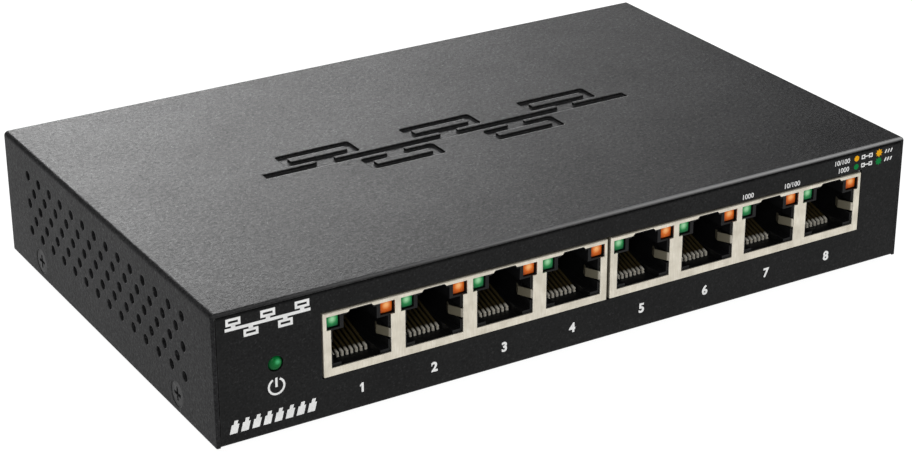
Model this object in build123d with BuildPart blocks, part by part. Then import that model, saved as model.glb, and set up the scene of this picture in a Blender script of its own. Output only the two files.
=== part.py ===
"""Eight-port desktop network switch in a folded sheet-metal case.

Frame: millimetres, +Z up, the ports face -Y, +X is to the right when looking at the ports.
Origin: the middle of the case's footprint, on the surface that the rubber feet stand on.
"""

from build123d import *
from math import atan2, cos, degrees, radians, sin
import os

# ------------------------------------------------------------------ case
case_width = 162.0
case_depth = 102.0
case_height = 27.5  # without the feet
sheet = 0.8
cover_inner_bend = 0.2  # inner bend radius along the two long top edges
edge_break = 0.3  # softened cut edge of the cover, front and rear
tray_bend = 0.6  # outer bend radius of the tray
tray_gap = 0.15  # tray to cover, each side
seam = 0.1  # tray walls to the underside of the cover
lip_length = 6.0  # inward lip at the top of the tray's front and rear walls
flange_height = 7.0  # upturned side flange that takes the cover screws
flange_end_gap = 2.0  # flange end to the front or rear wall

vent_radius = 1.1
vent_columns = 14
vent_pitch_y = 5.87
vent_pitch_z = 3.15
vent_centre_height = 15.6

emblem_depth = 0.6
emblem_length = 89.0
emblem_stroke = 2.4
emblem_stem = 4.4
emblem_box_length = 17.4
emblem_box_height = 6.0
emblem_ring = 2.1
emblem_round = 0.8
emblem_top = 8.1
emblem_draw = 0.5  # how far the pressed wall leans out under the sheet

# ------------------------------------------------------------------ fasteners, M3
thread_radius = 1.5
thread_play = 0.03
hole_play = 0.1
flat_head_radius = 2.6
flat_head_rim = 0.1
cover_screw_length = 6.0
cover_screw_inset_y = 17.0
cover_screw_height = 3.65
dimple_wall = 0.55  # thinned wall of the pressed countersink
collar_radius = 2.5
collar_length = 1.6
pan_head_radius = 2.75
pan_head_height = 1.9
board_screw_length = 6.0
cross_width = 0.7
cross_length = 2.9
cross_depth = 0.9

# ------------------------------------------------------------------ feet, label, wall mounting
foot_height = 1.5
foot_radius = 5.0
foot_inset_x = 19.0
foot_inset_y = 10.0
label_length = 70.0
label_width = 36.0
label_thickness = 0.1
label_corner = 2.0
keyhole_spacing = 105.0
keyhole_head_radius = 3.5
keyhole_neck_radius = 1.9
keyhole_travel = 6.5

# ------------------------------------------------------------------ circuit board
board_thickness = 1.6
board_side_gap = 2.1  # board edge to the tray flange
board_front_gap = 1.6  # board edge to the front wall
board_rear_gap = 1.6
board_corner = 1.0
standoff_height = 6.2
standoff_top_radius = 3.2
standoff_foot_radius = 4.6
standoff_inset_x = 3.8
standoff_inset_y = 7.4
lead_play = 0.15  # hole to lead, each side

# ------------------------------------------------------------------ ganged jacks
ports_per_gang = 4
port_pitch = 15.875
gang_end = 1.65  # face margin beyond the first and last openings
gang_gap = 0.7
gang_right_margin = 11.4
jack_proud = 0.2
jack_height = 13.3
jack_depth = 21.3
jack_lift = 0.05
panel_clearance = 0.3

shield_sheet = 0.3
shield_corner = 0.25
opening_half = 6.4
opening_floor = 1.65  # this and the other heights of the jack are above its bottom
opening_shoulder = 9.65
window_half = 7.3
window_top = 12.45
notch_half_low = 2.7
notch_half_high = 2.25
notch_top = 12.95
finger_height = 1.85
finger_centre = 5.6
finger_inward = 1.45
finger_depth = 3.1
finger_sheet = 0.25
finger_return = 0.5
finger_tail = 1.3
shield_tab_width = 1.6
shield_tab_length = 3.4
shield_tab_setback = 14.5

housing_play = 0.05
housing_back = 20.0
cavity_half = 5.95
cavity_floor = 2.35
cavity_ceiling = 9.35
cavity_back = 16.0
channel_half = 4.2
channel_floor = 0.8
latch_half = 3.55
latch_top = 11.95
latch_back = 9.0
thumb_half = 2.85
thumb_top = 12.6
thumb_back = 6.0
finger_relief = 0.4  # room round a ground finger

# ------------------------------------------------------------------ contacts
contacts_per_port = 8
contact_pitch = 1.016
contact_width = 0.46
contact_thickness = 0.34
contact_gap = 0.03  # between a spring's round end and the post it turns on
pivot_depth = 5.0
pivot_height = 1.5
contact_angle = 17.0
contact_reach = 9.6
contact_tip = 1.3
contact_tip_angle = -25.0
post_bend_height = 0.4
post_stagger = 2.54
carrier_front = 4.2
carrier_back = 9.0
carrier_play = 0.05
tooth_width = 0.34
tooth_depth = 2.0
tooth_top = 5.0

# ------------------------------------------------------------------ port lights
light_width = 2.6
light_height = 2.4
light_length = 6.5
light_round = 0.3
light_setback = 0.7
light_reach = 5.75  # light to port centre
light_play = 0.15
light_floor = 9.85
pocket_back = 7.5
lead_size = 0.45
lead_below_board = 1.4
light_lead_pitch = 1.27
light_lead_gap = 0.15  # housing to the bent leads behind it

# ------------------------------------------------------------------ power light
power_x_margin = 12.6
power_height = 14.35
power_radius = 1.5
power_dome = 0.9
power_length = 4.6
power_rim_radius = 1.85
power_rim = 0.9
power_hole_play = 0.12
power_lead_pitch = 2.54
power_lead_gap = 0.6
holder_width = 4.6
holder_depth = 4.2
holder_above = 2.3

# ------------------------------------------------------------------ power inlet and lock slot
inlet_x_margin = 21.0
inlet_width = 9.0
inlet_height = 11.0
inlet_depth = 14.2
inlet_round = 0.8
inlet_axis_height = 6.5
inlet_bore_radius = 3.2
inlet_bore_depth = 9.5
inlet_pin_radius = 1.0
inlet_pin_recess = 0.7
inlet_play = 0.03
sleeve_width = 2.0
sleeve_side_play = 0.15
sleeve_sheet = 0.3
sleeve_setback = 2.6
sleeve_reach = 6.6
sleeve_angle = 7.0
sleeve_drop = 3.45  # pivot below the bore's axis
sleeve_room = 0.4
sleeve_slot_drop = 5.1  # slot floor below the bore's axis
tab_width = 1.6
tab_inset = 0.8
tab_spacing = 6.2
lock_slot_length = 7.2
lock_slot_height = 3.2
lock_slot_round = 0.8
lock_x_margin = 18.0
lock_height = 13.0

# ------------------------------------------------------------------ electronics
transformer_length = 27.7
transformer_width = 11.0
transformer_height = 5.6
transformer_gap = 3.2  # jacks to transformers
transformer_leads = 14
transformer_lead_pitch = 1.9
transformer_lead_width = 0.5
transformer_lead_shoulder = 2.0
transformer_lead_reach = 1.4

chip_length = 20.0
chip_width = 14.0
chip_thickness = 1.4
chip_x = 6.0
chip_y = 8.0
chip_lead_pitch = 0.5
chip_leads_long = 38
chip_leads_short = 26
chip_lead_width = 0.2
chip_lead_reach = 1.0
package_lift = 0.1
package_edge = 0.2
pad_thickness = 0.5
sink_length = 32.0
sink_width = 26.0
sink_base = 2.0
sink_height = 10.0
sink_fins = 9
sink_fin = 1.1

small_chip_length = 4.9
small_chip_width = 3.9
small_chip_lead_pitch = 1.27
small_chip_lead_width = 0.4
small_chip_leads = 4  # on each side
converter_place = (-58.0, 24.0)
memory_place = (42.0, 20.0)
inductor_place = (-45.0, 25.0)
inductor_size = 12.0
inductor_height = 7.0
inductor_corner = 2.0
diode_place = (-66.0, 31.0)
crystal_place = (32.0, 9.0)
crystal_length = 11.2
crystal_width = 4.7
crystal_height = 3.5
crystal_rim = 0.4
crystal_lead_pitch = 4.9
input_can_radius = 4.0
input_can_height = 11.5
output_can_radius = 3.15
output_can_height = 9.0
can_inset = 7.0  # can centre to the rear edge of the board
can_pitch = 11.0
can_groove = 0.3
can_groove_height = 1.2
can_lead_share = 0.44  # lead offset as a share of the can's radius
chip_part_length = 1.6
chip_part_width = 0.8
chip_part_pitch = 6.0
chip_parts_per_row = 20
resistor_row_share = 0.48  # place between the transformers and the switch chip
capacitor_row_share = 0.34
resistor_thickness = 0.5
capacitor_thickness = 0.8

os.makedirs("parts", exist_ok=True)

# ------------------------------------------------------------------ levels and places worked out
cover_bend = cover_inner_bend + sheet
cover_screw_y = case_depth / 2 - cover_screw_inset_y
case_bottom = foot_height
case_top = case_bottom + case_height
front_y = -case_depth / 2
rear_y = case_depth / 2
inner_width = case_width - 2 * sheet
tray_width = inner_width - 2 * tray_gap
tray_top = case_top - sheet - seam
flange_inner_x = tray_width / 2 - sheet
flat_cone = flat_head_radius - thread_radius  # height of the 90 degree head

board_bottom = case_bottom + sheet + standoff_height
board_top = board_bottom + board_thickness
board_half = flange_inner_x - board_side_gap
board_front = front_y + sheet + board_front_gap
board_rear = rear_y - sheet - board_rear_gap
lead_end = board_bottom - lead_below_board
standoffs = [
    (side * (board_half - standoff_inset_x), y)
    for side in (-1, 1)
    for y in (board_front + standoff_inset_y, board_rear - standoff_inset_y)
]

gang_width = (ports_per_gang - 1) * port_pitch + 2 * (opening_half + gang_end)
array_width = 2 * gang_width + gang_gap
array_x = case_width / 2 - gang_right_margin - array_width / 2
gangs = {
    "left": array_x - (gang_width + gang_gap) / 2,
    "right": array_x + (gang_width + gang_gap) / 2,
}
jack_front = front_y - jack_proud
jack_bottom = board_top + jack_lift
jack_top = jack_bottom + jack_height
housing_front = jack_front + shield_sheet + housing_play
housing_rear = jack_front + housing_back
pivot_y = jack_front + pivot_depth
pivot_z = jack_bottom + pivot_height
light_front = jack_front + light_setback
light_z = jack_bottom + light_floor + light_height / 2
light_lead_y = housing_rear + light_lead_gap + lead_size / 2
shield_tab_y = jack_front + shield_tab_setback

power_x = -case_width / 2 + power_x_margin
power_z = case_bottom + power_height
holder_y = jack_front + power_length
power_lead_y = holder_y + holder_depth + power_lead_gap + lead_size / 2

inlet_x = -case_width / 2 + inlet_x_margin
inlet_z = board_top + inlet_axis_height
inlet_face = rear_y + jack_proud
pin_tab_y = inlet_face - inlet_depth + tab_inset
sleeve_tab_y = pin_tab_y + tab_spacing
sleeve_y = inlet_face - sleeve_setback
sleeve_z = inlet_z - sleeve_drop
sleeve_slot_z = inlet_z - sleeve_slot_drop
lock_x = case_width / 2 - lock_x_margin

transformer_y = jack_front + jack_depth + transformer_gap + transformer_width / 2
transformer_rear = transformer_y + transformer_width / 2
row_room = chip_y - chip_width / 2 - transformer_rear
resistor_row = transformer_rear + resistor_row_share * row_room
capacitor_row = transformer_rear + capacitor_row_share * row_room
can_y = board_rear - can_inset
cans = {
    "input_capacitor": (inlet_x + inlet_width / 2 + can_pitch, input_can_radius, input_can_height),
    "output_capacitor_1": (inlet_x + inlet_width / 2 + 2 * can_pitch, output_can_radius, output_can_height),
    "output_capacitor_2": (inlet_x + inlet_width / 2 + 3 * can_pitch, output_can_radius, output_can_height),
}


# ------------------------------------------------------------------ helpers
def front_plane(y):
    """A sketch plane at depth y whose x is +X and whose y is +Z; positive extrusions go towards the front."""
    return Plane.XZ.offset(-y)


def side_plane(x):
    """A sketch plane at x whose x is +Y and whose y is +Z; positive extrusions go towards the right."""
    return Plane.YZ.offset(x)


def save(piece, name):
    """Labels a finished piece and writes it as its own file."""
    piece.part.label = name
    export_step(piece.part, f"parts/{name}.step")


def port_centres(gang_x):
    """The x of each port in a gang, left to right."""
    first = gang_x - (ports_per_gang - 1) * port_pitch / 2
    return [first + i * port_pitch for i in range(ports_per_gang)]


def contact_xs(port_x):
    """The x of each contact in a port, left to right."""
    first = port_x - (contacts_per_port - 1) * contact_pitch / 2
    return [first + i * contact_pitch for i in range(contacts_per_port)]


def light_xs(gang_x):
    """The x of every port light in a gang, left and right light of each port in turn."""
    return [port_x + side * light_reach for port_x in port_centres(gang_x) for side in (-1, 1)]


def block(x_span, y_span, z_span, at=(0,), mode=Mode.ADD):
    """A box between limits along x, y and z, repeated at each x offset in `at`."""
    low = [min(span) for span in (x_span, y_span, z_span)]
    size = [abs(span[1] - span[0]) for span in (x_span, y_span, z_span)]
    with Locations(*[(x + low[0] + size[0] / 2, low[1] + size[1] / 2, low[2] + size[2] / 2) for x in at]):
        Box(*size, mode=mode)


def about(centre, half):
    """The limits of a span of the given half width about its centre."""
    return (centre - half, centre + half)


def strip(points, thickness):
    """Draws a bent strip or wire seen edge on: a round-ended bar along each leg of the path."""
    for start, end in zip(points, points[1:]):
        leg = Vector(*end) - Vector(*start)
        middle = (Vector(*start) + Vector(*end)) / 2
        with Locations((middle.X, middle.Y)):
            SlotCenterToCenter(leg.length, thickness, rotation=degrees(atan2(leg.Y, leg.X)))


def turned(outline, centre, mode=Mode.ADD):
    """Revolves (distance along +X, radius) points about the line along X through the centre."""
    with BuildSketch(Plane(origin=centre, x_dir=(1, 0, 0), z_dir=(0, -1, 0))) as profile:
        with BuildLine():
            Polyline(*outline, close=True)
        make_face()
    revolve(profile.sketch, axis=Axis(centre, (1, 0, 0)), mode=mode)


def lead_row(places, outward, width, shoulder, reach, thickness=0.15):
    """A row of gull-wing leads that leave a package at each place and turn down to the board."""
    planes = []
    for x, y in places:
        along = Vector(*outward, 0).cross(Vector(0, 0, 1))
        planes.append(Plane(origin=(x, y, board_top), x_dir=(*outward, 0), z_dir=along))
    half = thickness / 2
    with BuildSketch(*planes) as rows:
        with BuildLine():
            Polyline(
                (0, shoulder + half),
                (0.4 * reach, shoulder + half),
                (0.6 * reach, thickness),
                (reach, thickness),
                (reach, 0),
                (0.5 * reach, 0),
                (0.3 * reach, shoulder - half),
                (0, shoulder - half),
                close=True,
            )
        make_face()
    extrude(rows.sketch, amount=width / 2, both=True)


def spaced(centre, count, pitch):
    """Evenly spaced values about a centre."""
    return [centre + (i - (count - 1) / 2) * pitch for i in range(count)]


# ------------------------------------------------------------------ emblem: a generic network pictogram
def draw_emblem(grow=0.0):
    """Draws a trunk line with five ringed boxes, each shape grown by the given amount."""
    box_y = emblem_top - emblem_box_height / 2
    places = [(x, box_y if i % 2 == 0 else -box_y) for i, x in enumerate(spaced(0, 5, emblem_length / 6))]
    Rectangle(emblem_length + 2 * grow, emblem_stroke + 2 * grow)
    for x, y in places:
        with Locations((x, y / 2)):
            Rectangle(emblem_stem + 2 * grow, abs(y))
        with Locations((x, y)):
            RectangleRounded(
                emblem_box_length + 2 * grow, emblem_box_height + 2 * grow, emblem_round + grow
            )
    with Locations(*places):
        Rectangle(
            emblem_box_length - 2 * emblem_ring - 2 * grow,
            emblem_box_height - 2 * emblem_ring - 2 * grow,
            mode=Mode.SUBTRACT,
        )


# ------------------------------------------------------------------ casing
def build_top_cover():
    """The U-shaped cover: top and two perforated sides, with countersinks pressed for the side screws."""
    with BuildPart() as cover:
        with BuildSketch(front_plane(front_y)) as section:
            with Locations((0, case_bottom)):
                Rectangle(case_width, case_height, align=(Align.CENTER, Align.MIN))
                Rectangle(
                    inner_width, case_height - sheet, align=(Align.CENTER, Align.MIN), mode=Mode.SUBTRACT
                )
            fillet(section.vertices().group_by(Axis.Y)[-1], cover_bend)
            inner_corners = [
                v
                for v in section.vertices()
                if abs(abs(v.X) - inner_width / 2) < seam and abs(v.Y - case_top + sheet) < seam
            ]
            fillet(inner_corners, cover_inner_bend)
        extrude(amount=-case_depth)

        with BuildSketch(Plane.XY.offset(case_top - sheet)):
            draw_emblem(emblem_draw)
        extrude(amount=-emblem_depth)
        with BuildSketch(Plane.XY.offset(case_top)):
            draw_emblem()
        extrude(amount=-emblem_depth, mode=Mode.SUBTRACT)

        with BuildSketch(Plane.YZ):
            with Locations((0, case_bottom + vent_centre_height)):
                with GridLocations(vent_pitch_y, 2 * vent_pitch_z, vent_columns, 3):
                    Circle(vent_radius)
                with GridLocations(vent_pitch_y, 2 * vent_pitch_z, vent_columns - 1, 2):
                    Circle(vent_radius)
        extrude(amount=case_width, both=True, mode=Mode.SUBTRACT)

        head = flat_head_radius + hole_play
        throat = thread_radius + hole_play
        cone = head - throat
        wall = dimple_wall * 2**0.5
        for side in (-1, 1):
            for y in (-cover_screw_y, cover_screw_y):
                face = (side * case_width / 2, y, case_bottom + cover_screw_height)
                boss = [
                    (-side * sheet / 2, 0),
                    (-side * sheet / 2, head - sheet / 2 + wall),
                    (-side * (cone + dimple_wall / 2), throat + wall - dimple_wall / 2),
                    (-side * (cone + dimple_wall / 2), 0),
                ]
                turned(boss, face)
                sink = [
                    (side * sheet, 0),
                    (side * sheet, head),
                    (0, head),
                    (-side * cone, throat),
                    (-side * 3 * sheet, throat),
                    (-side * 3 * sheet, 0),
                ]
                turned(sink, face, Mode.SUBTRACT)

        ends = [e for e in cover.edges() if abs(abs(e.center().Y) - case_depth / 2) < seam]
        outside = [
            e
            for e in ends
            if e.length > 2 * sheet
            and (e.center().Z > case_top - sheet / 2 or abs(e.center().X) > (case_width - sheet) / 2)
        ]
        bends = [e for e in ends if e.geom_type == GeomType.CIRCLE and e.radius > cover_bend - seam]
        fillet(outside + bends, edge_break)
    save(cover, "top_cover")


def build_base_tray():
    """The tray: floor, front panel and rear panel folded from one sheet, with side flanges and standoffs."""
    with BuildPart() as tray:
        wall_height = tray_top - case_bottom
        with BuildSketch(side_plane(-tray_width / 2)) as section:
            with Locations((0, case_bottom)):
                Rectangle(case_depth, wall_height, align=(Align.CENTER, Align.MIN))
            fillet(section.vertices(), tray_bend)
            with Locations((0, case_bottom + sheet)):
                Rectangle(
                    case_depth - 2 * sheet,
                    wall_height - 2 * sheet,
                    align=(Align.CENTER, Align.MIN),
                    mode=Mode.SUBTRACT,
                )
                Rectangle(
                    case_depth - 2 * lip_length,
                    wall_height,
                    align=(Align.CENTER, Align.MIN),
                    mode=Mode.SUBTRACT,
                )
        extrude(amount=tray_width)

        flange_end = case_depth / 2 - sheet - flange_end_gap
        nest_depth = flat_cone + dimple_wall / 2 - sheet - tray_gap + hole_play
        nest_radius = flat_head_radius + dimple_wall * 2**0.5 - sheet - tray_gap + 3 * hole_play
        bore = thread_radius + thread_play
        for side in (-1, 1):
            block(
                (side * flange_inner_x, side * tray_width / 2),
                (-flange_end, flange_end),
                (case_bottom, case_bottom + flange_height),
            )
            for y in (-cover_screw_y, cover_screw_y):
                root = (side * flange_inner_x, y, case_bottom + cover_screw_height)
                collar = [
                    (side * sheet / 2, 0),
                    (side * sheet / 2, collar_radius),
                    (-side * collar_length, collar_radius),
                    (-side * collar_length, 0),
                ]
                turned(collar, root)
                nest = [
                    (side * 2 * sheet, 0),
                    (side * 2 * sheet, nest_radius + sheet),
                    (side * sheet, nest_radius),
                    (side * (sheet - nest_depth), nest_radius - nest_depth),
                    (side * (sheet - nest_depth), bore),
                    (-side * 2 * collar_length, bore),
                    (-side * 2 * collar_length, 0),
                ]
                turned(nest, root, Mode.SUBTRACT)

        upright = (Align.CENTER, Align.CENTER, Align.MIN)
        with Locations(*[(x, y, case_bottom) for x, y in standoffs]):
            Cone(standoff_foot_radius, standoff_top_radius, sheet + standoff_height, align=upright)
            Cone(
                standoff_foot_radius - sheet,
                standoff_top_radius - sheet,
                standoff_height,
                align=upright,
                mode=Mode.SUBTRACT,
            )
            Cylinder(bore, sheet + standoff_height, align=upright, mode=Mode.SUBTRACT)

        with BuildSketch(front_plane(front_y)):
            with Locations((array_x, (jack_bottom + jack_top) / 2)):
                Rectangle(array_width + 2 * panel_clearance, jack_height + 2 * panel_clearance)
            with Locations((power_x, power_z)):
                Circle(power_radius + power_hole_play)
        extrude(amount=-sheet, mode=Mode.SUBTRACT)

        with BuildSketch(front_plane(rear_y)):
            with Locations((inlet_x, board_top + inlet_height / 2)):
                Rectangle(inlet_width + 2 * panel_clearance, inlet_height + 2 * panel_clearance)
            with Locations((lock_x, case_bottom + lock_height)):
                RectangleRounded(lock_slot_length, lock_slot_height, lock_slot_round)
        extrude(amount=sheet, mode=Mode.SUBTRACT)

        with BuildSketch(Plane.XY.offset(case_bottom)):
            with Locations((-keyhole_spacing / 2, 0), (keyhole_spacing / 2, 0)):
                Circle(keyhole_head_radius)
            neck_y = -keyhole_travel / 2
            with Locations((-keyhole_spacing / 2, neck_y), (keyhole_spacing / 2, neck_y)):
                SlotCenterToCenter(keyhole_travel, 2 * keyhole_neck_radius, rotation=90)
        extrude(amount=sheet, mode=Mode.SUBTRACT)
    save(tray, "base_tray")


def build_cover_screws():
    """Four M3 countersunk screws with cross recesses, two through each side of the cover."""
    with BuildPart() as screws:
        for side in (-1, 1):
            for y in (-cover_screw_y, cover_screw_y):
                face = (side * (case_width / 2 - flat_head_rim), y, case_bottom + cover_screw_height)
                body = [
                    (0, 0),
                    (0, flat_head_radius),
                    (-side * flat_cone, thread_radius),
                    (-side * (cover_screw_length - thread_radius / 3), thread_radius),
                    (-side * cover_screw_length, thread_radius * 2 / 3),
                    (-side * cover_screw_length, 0),
                ]
                turned(body, face)
                with BuildSketch(Plane(origin=face, x_dir=(0, 1, 0), z_dir=(side, 0, 0))):
                    Rectangle(cross_length, cross_width)
                    Rectangle(cross_width, cross_length)
                extrude(amount=-cross_depth, mode=Mode.SUBTRACT)
    save(screws, "cover_screws")


def build_feet():
    """Four stick-on rubber feet, each its own piece."""
    foot_x = case_width / 2 - foot_inset_x
    foot_y = case_depth / 2 - foot_inset_y
    places = {
        "foot_front_left": (-foot_x, -foot_y),
        "foot_front_right": (foot_x, -foot_y),
        "foot_rear_left": (-foot_x, foot_y),
        "foot_rear_right": (foot_x, foot_y),
    }
    for name, (x, y) in places.items():
        with BuildPart() as foot:
            with Locations((x, y, 0)):
                Cylinder(foot_radius, foot_height, align=(Align.CENTER, Align.CENTER, Align.MIN))
            fillet(foot.edges().sort_by(Axis.Z)[0], foot_height / 3)
        save(foot, name)


def build_rating_label():
    """A blank sticker on the underside."""
    with BuildPart() as label:
        with BuildSketch(Plane.XY.offset(case_bottom)):
            RectangleRounded(label_length, label_width, label_corner)
        extrude(amount=-label_thickness)
    save(label, "rating_label")


# ------------------------------------------------------------------ circuit board and what holds it
def board_holes():
    """Each lead hole in the board, as (x, y, size along x, size along y)."""
    square = lead_size + 2 * lead_play
    holes = []
    for gang_x in gangs.values():
        for port_x in port_centres(gang_x):
            for i, x in enumerate(contact_xs(port_x)):
                y = pivot_y + (i % 2) * post_stagger
                holes.append((x, y, contact_width + 2 * lead_play, contact_thickness + 2 * lead_play))
        for light_x in light_xs(gang_x):
            holes += [(x, light_lead_y, square, square) for x in spaced(light_x, 2, light_lead_pitch)]
        for x in spaced(gang_x, 2, gang_width - shield_sheet):
            holes.append((x, shield_tab_y, shield_sheet + 2 * lead_play, shield_tab_width + 2 * lead_play))
    holes += [(x, power_lead_y, square, square) for x in spaced(power_x, 2, power_lead_pitch)]
    holes += [(inlet_x, y, tab_width + 2 * lead_play, square) for y in (pin_tab_y, sleeve_tab_y)]
    holes += [(x, y, square, square) for x, y in component_lead_places()]
    return holes


def component_lead_places():
    """Where the leads of the capacitors and of the crystal stand."""
    places = []
    for x, radius, height in cans.values():
        places += [(lead_x, can_y) for lead_x in spaced(x, 2, 2 * radius * can_lead_share)]
    crystal_x, crystal_y = crystal_place
    places += [(lead_x, crystal_y) for lead_x in spaced(crystal_x, 2, crystal_lead_pitch)]
    return places


def build_circuit_board():
    """The board, drilled for its screws and for every lead that is soldered through it."""
    with BuildPart() as board:
        with BuildSketch(Plane.XY.offset(board_bottom)):
            with Locations((0, (board_front + board_rear) / 2)):
                RectangleRounded(2 * board_half, board_rear - board_front, board_corner)
            with Locations(*standoffs):
                Circle(thread_radius + hole_play, mode=Mode.SUBTRACT)
            for size_x, size_y in sorted({hole[2:] for hole in board_holes()}):
                with Locations(*[(x, y) for x, y, w, h in board_holes() if (w, h) == (size_x, size_y)]):
                    Rectangle(size_x, size_y, mode=Mode.SUBTRACT)
        extrude(amount=board_thickness)
    save(board, "circuit_board")


def build_board_screws():
    """Four M3 pan-head screws that hold the board on the tray's standoffs."""
    with BuildPart() as screws:
        with Locations(*[(x, y, board_top) for x, y in standoffs]):
            Cylinder(pan_head_radius, pan_head_height, align=(Align.CENTER, Align.CENTER, Align.MIN))
            Cylinder(thread_radius, board_screw_length, align=(Align.CENTER, Align.CENTER, Align.MAX))
        fillet(screws.edges().filter_by(GeomType.CIRCLE).group_by(Axis.Z)[-1], pan_head_height / 3)
        with BuildSketch(Plane.XY.offset(board_top + pan_head_height)):
            with Locations(*standoffs):
                Rectangle(cross_length, cross_width)
                Rectangle(cross_width, cross_length)
        extrude(amount=-cross_depth, mode=Mode.SUBTRACT)
    save(screws, "board_screws")


# ------------------------------------------------------------------ ganged jacks
def port_outline(port_x):
    """One port's opening in the shield's face: plug mouth, two light windows and the latch notch."""
    right = [
        (opening_half, opening_floor),
        (opening_half, opening_shoulder),
        (window_half, opening_shoulder),
        (window_half, window_top),
        (notch_half_low, window_top),
        (notch_half_high, notch_top),
    ]
    left = [(-x, height) for x, height in reversed(right)]
    return [(port_x + x, jack_bottom + height) for x, height in right + left]


def build_shield(side_name, gang_x):
    """The folded tin-plated shield round one gang of jacks, with ground fingers and solder tabs."""
    left, right = about(gang_x, gang_width / 2)
    back = jack_front + jack_depth
    ports = port_centres(gang_x)
    with BuildPart() as shield:
        block((left, right), (jack_front, back), (jack_bottom, jack_top))
        fillet(shield.edges().filter_by(Axis.Z), shield_corner)
        fillet(shield.faces().sort_by(Axis.Z)[-1].edges(), shield_corner)
        block(
            (left + shield_sheet, right - shield_sheet),
            (jack_front + shield_sheet, back - shield_sheet),
            (jack_bottom - shield_sheet, jack_top - shield_sheet),
            mode=Mode.SUBTRACT,
        )
        with BuildSketch(front_plane(jack_front)):
            for port_x in ports:
                with BuildLine():
                    Polyline(*port_outline(port_x), close=True)
                make_face()
        extrude(amount=-shield_sheet, mode=Mode.SUBTRACT)
        finger_bottom = jack_bottom + finger_centre - finger_height / 2
        root_y = jack_front + shield_sheet / 2
        with BuildSketch(Plane.XY.offset(finger_bottom)):
            for port_x in ports:
                for side in (-1, 1):
                    root = port_x + side * (opening_half + finger_sheet / 2)
                    tip = port_x + side * (opening_half - finger_inward)
                    end = tip + side * finger_return
                    tip_y = jack_front + finger_depth
                    strip([(root, root_y), (tip, tip_y), (end, tip_y + finger_tail)], finger_sheet)
        extrude(amount=finger_height)
        for wall in ((left, left + shield_sheet), (right - shield_sheet, right)):
            tab_levels = (jack_bottom - shield_tab_length, jack_top / 2)
            block(wall, about(shield_tab_y, shield_tab_width / 2), tab_levels)
    save(shield, f"jack_shield_{side_name}")


def build_housing(side_name, gang_x):
    """The black insulator of one gang: plug cavities, latch channels, light pockets and contact combs."""
    inner = gang_width / 2 - shield_sheet - housing_play
    ports = port_centres(gang_x)
    lights = light_xs(gang_x)
    cavity_end = jack_front + cavity_back
    front = housing_front - housing_play
    relief = finger_height / 2 + finger_relief
    light_room = light_width / 2 + light_play
    with BuildPart() as housing:
        block(
            about(gang_x, inner),
            (housing_front, housing_rear),
            (jack_bottom, jack_top - shield_sheet - housing_play),
        )
        cuts = [
            (cavity_half, cavity_end, cavity_floor, cavity_ceiling),
            (channel_half, cavity_end, channel_floor, cavity_ceiling),
            (latch_half, jack_front + latch_back, channel_floor, latch_top),
            (thumb_half, jack_front + thumb_back, channel_floor, thumb_top),
            (
                opening_half + finger_relief,
                jack_front + finger_depth + finger_tail + finger_relief,
                finger_centre - relief,
                finger_centre + relief,
            ),
        ]
        for half, end, low, high in cuts:
            block((-half, half), (front, end), (jack_bottom + low, jack_bottom + high), ports, Mode.SUBTRACT)
        block(
            (-channel_half, channel_half),
            (jack_front + carrier_front, jack_front + carrier_back),
            (jack_bottom - shield_sheet, jack_bottom + channel_floor),
            ports,
            Mode.SUBTRACT,
        )
        block(
            (-light_room, light_room),
            (front, jack_front + pocket_back),
            about(light_z, light_height / 2 + light_play),
            lights,
            Mode.SUBTRACT,
        )
        lead_room = (light_lead_pitch + lead_size) / 2 + light_play
        block(
            (-lead_room, lead_room),
            (front, housing_rear + housing_play),
            about(light_z, lead_size / 2 + light_play),
            lights,
            Mode.SUBTRACT,
        )
        teeth = [x for port_x in ports for x in spaced(port_x, contacts_per_port + 1, contact_pitch)]
        block(
            about(0, tooth_width / 2),
            (cavity_end - tooth_depth, cavity_end + housing_play),
            (jack_bottom + channel_floor - housing_play, jack_bottom + tooth_top),
            teeth,
        )
    save(housing, f"jack_housing_{side_name}")


def post_boxes(i, x, play=0.0):
    """The boxes that make up one contact's post, as (x span, y span, z span), each grown by the play."""
    across = about(x, contact_width / 2 + play)
    thick = contact_thickness / 2 + play
    top = pivot_z - contact_thickness / 2 - contact_gap
    if i % 2 == 0:
        return [(across, about(pivot_y, thick), (lead_end, top))]
    bend = jack_bottom + post_bend_height
    rear = pivot_y + post_stagger
    return [
        (across, about(pivot_y, thick), (bend - thick, top)),
        (across, (pivot_y - thick, rear + thick), about(bend, thick)),
        (across, about(rear, thick), (lead_end, bend)),
    ]


def build_contact_carriers(side_name, gang_x):
    """Four inserts, one a port, that hold the contact posts in the floor of the insulator."""
    with BuildPart() as carriers:
        block(
            about(0, channel_half - carrier_play),
            (jack_front + carrier_front + carrier_play, jack_front + carrier_back - carrier_play),
            (jack_bottom, jack_bottom + channel_floor),
            port_centres(gang_x),
        )
        for i in range(contacts_per_port):
            at = [contact_xs(port_x)[i] for port_x in port_centres(gang_x)]
            for x_span, y_span, z_span in post_boxes(i, 0, carrier_play):
                block(x_span, y_span, z_span, at, Mode.SUBTRACT)
    save(carriers, f"contact_carriers_{side_name}")


def build_contact_posts(side_name, gang_x):
    """The fixed lower ends of the contacts, from the bend down through the board."""
    with BuildPart() as posts:
        for i in range(contacts_per_port):
            at = [contact_xs(port_x)[i] for port_x in port_centres(gang_x)]
            for x_span, y_span, z_span in post_boxes(i, 0):
                block(x_span, y_span, z_span, at)
    save(posts, f"contact_posts_{side_name}")


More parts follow.
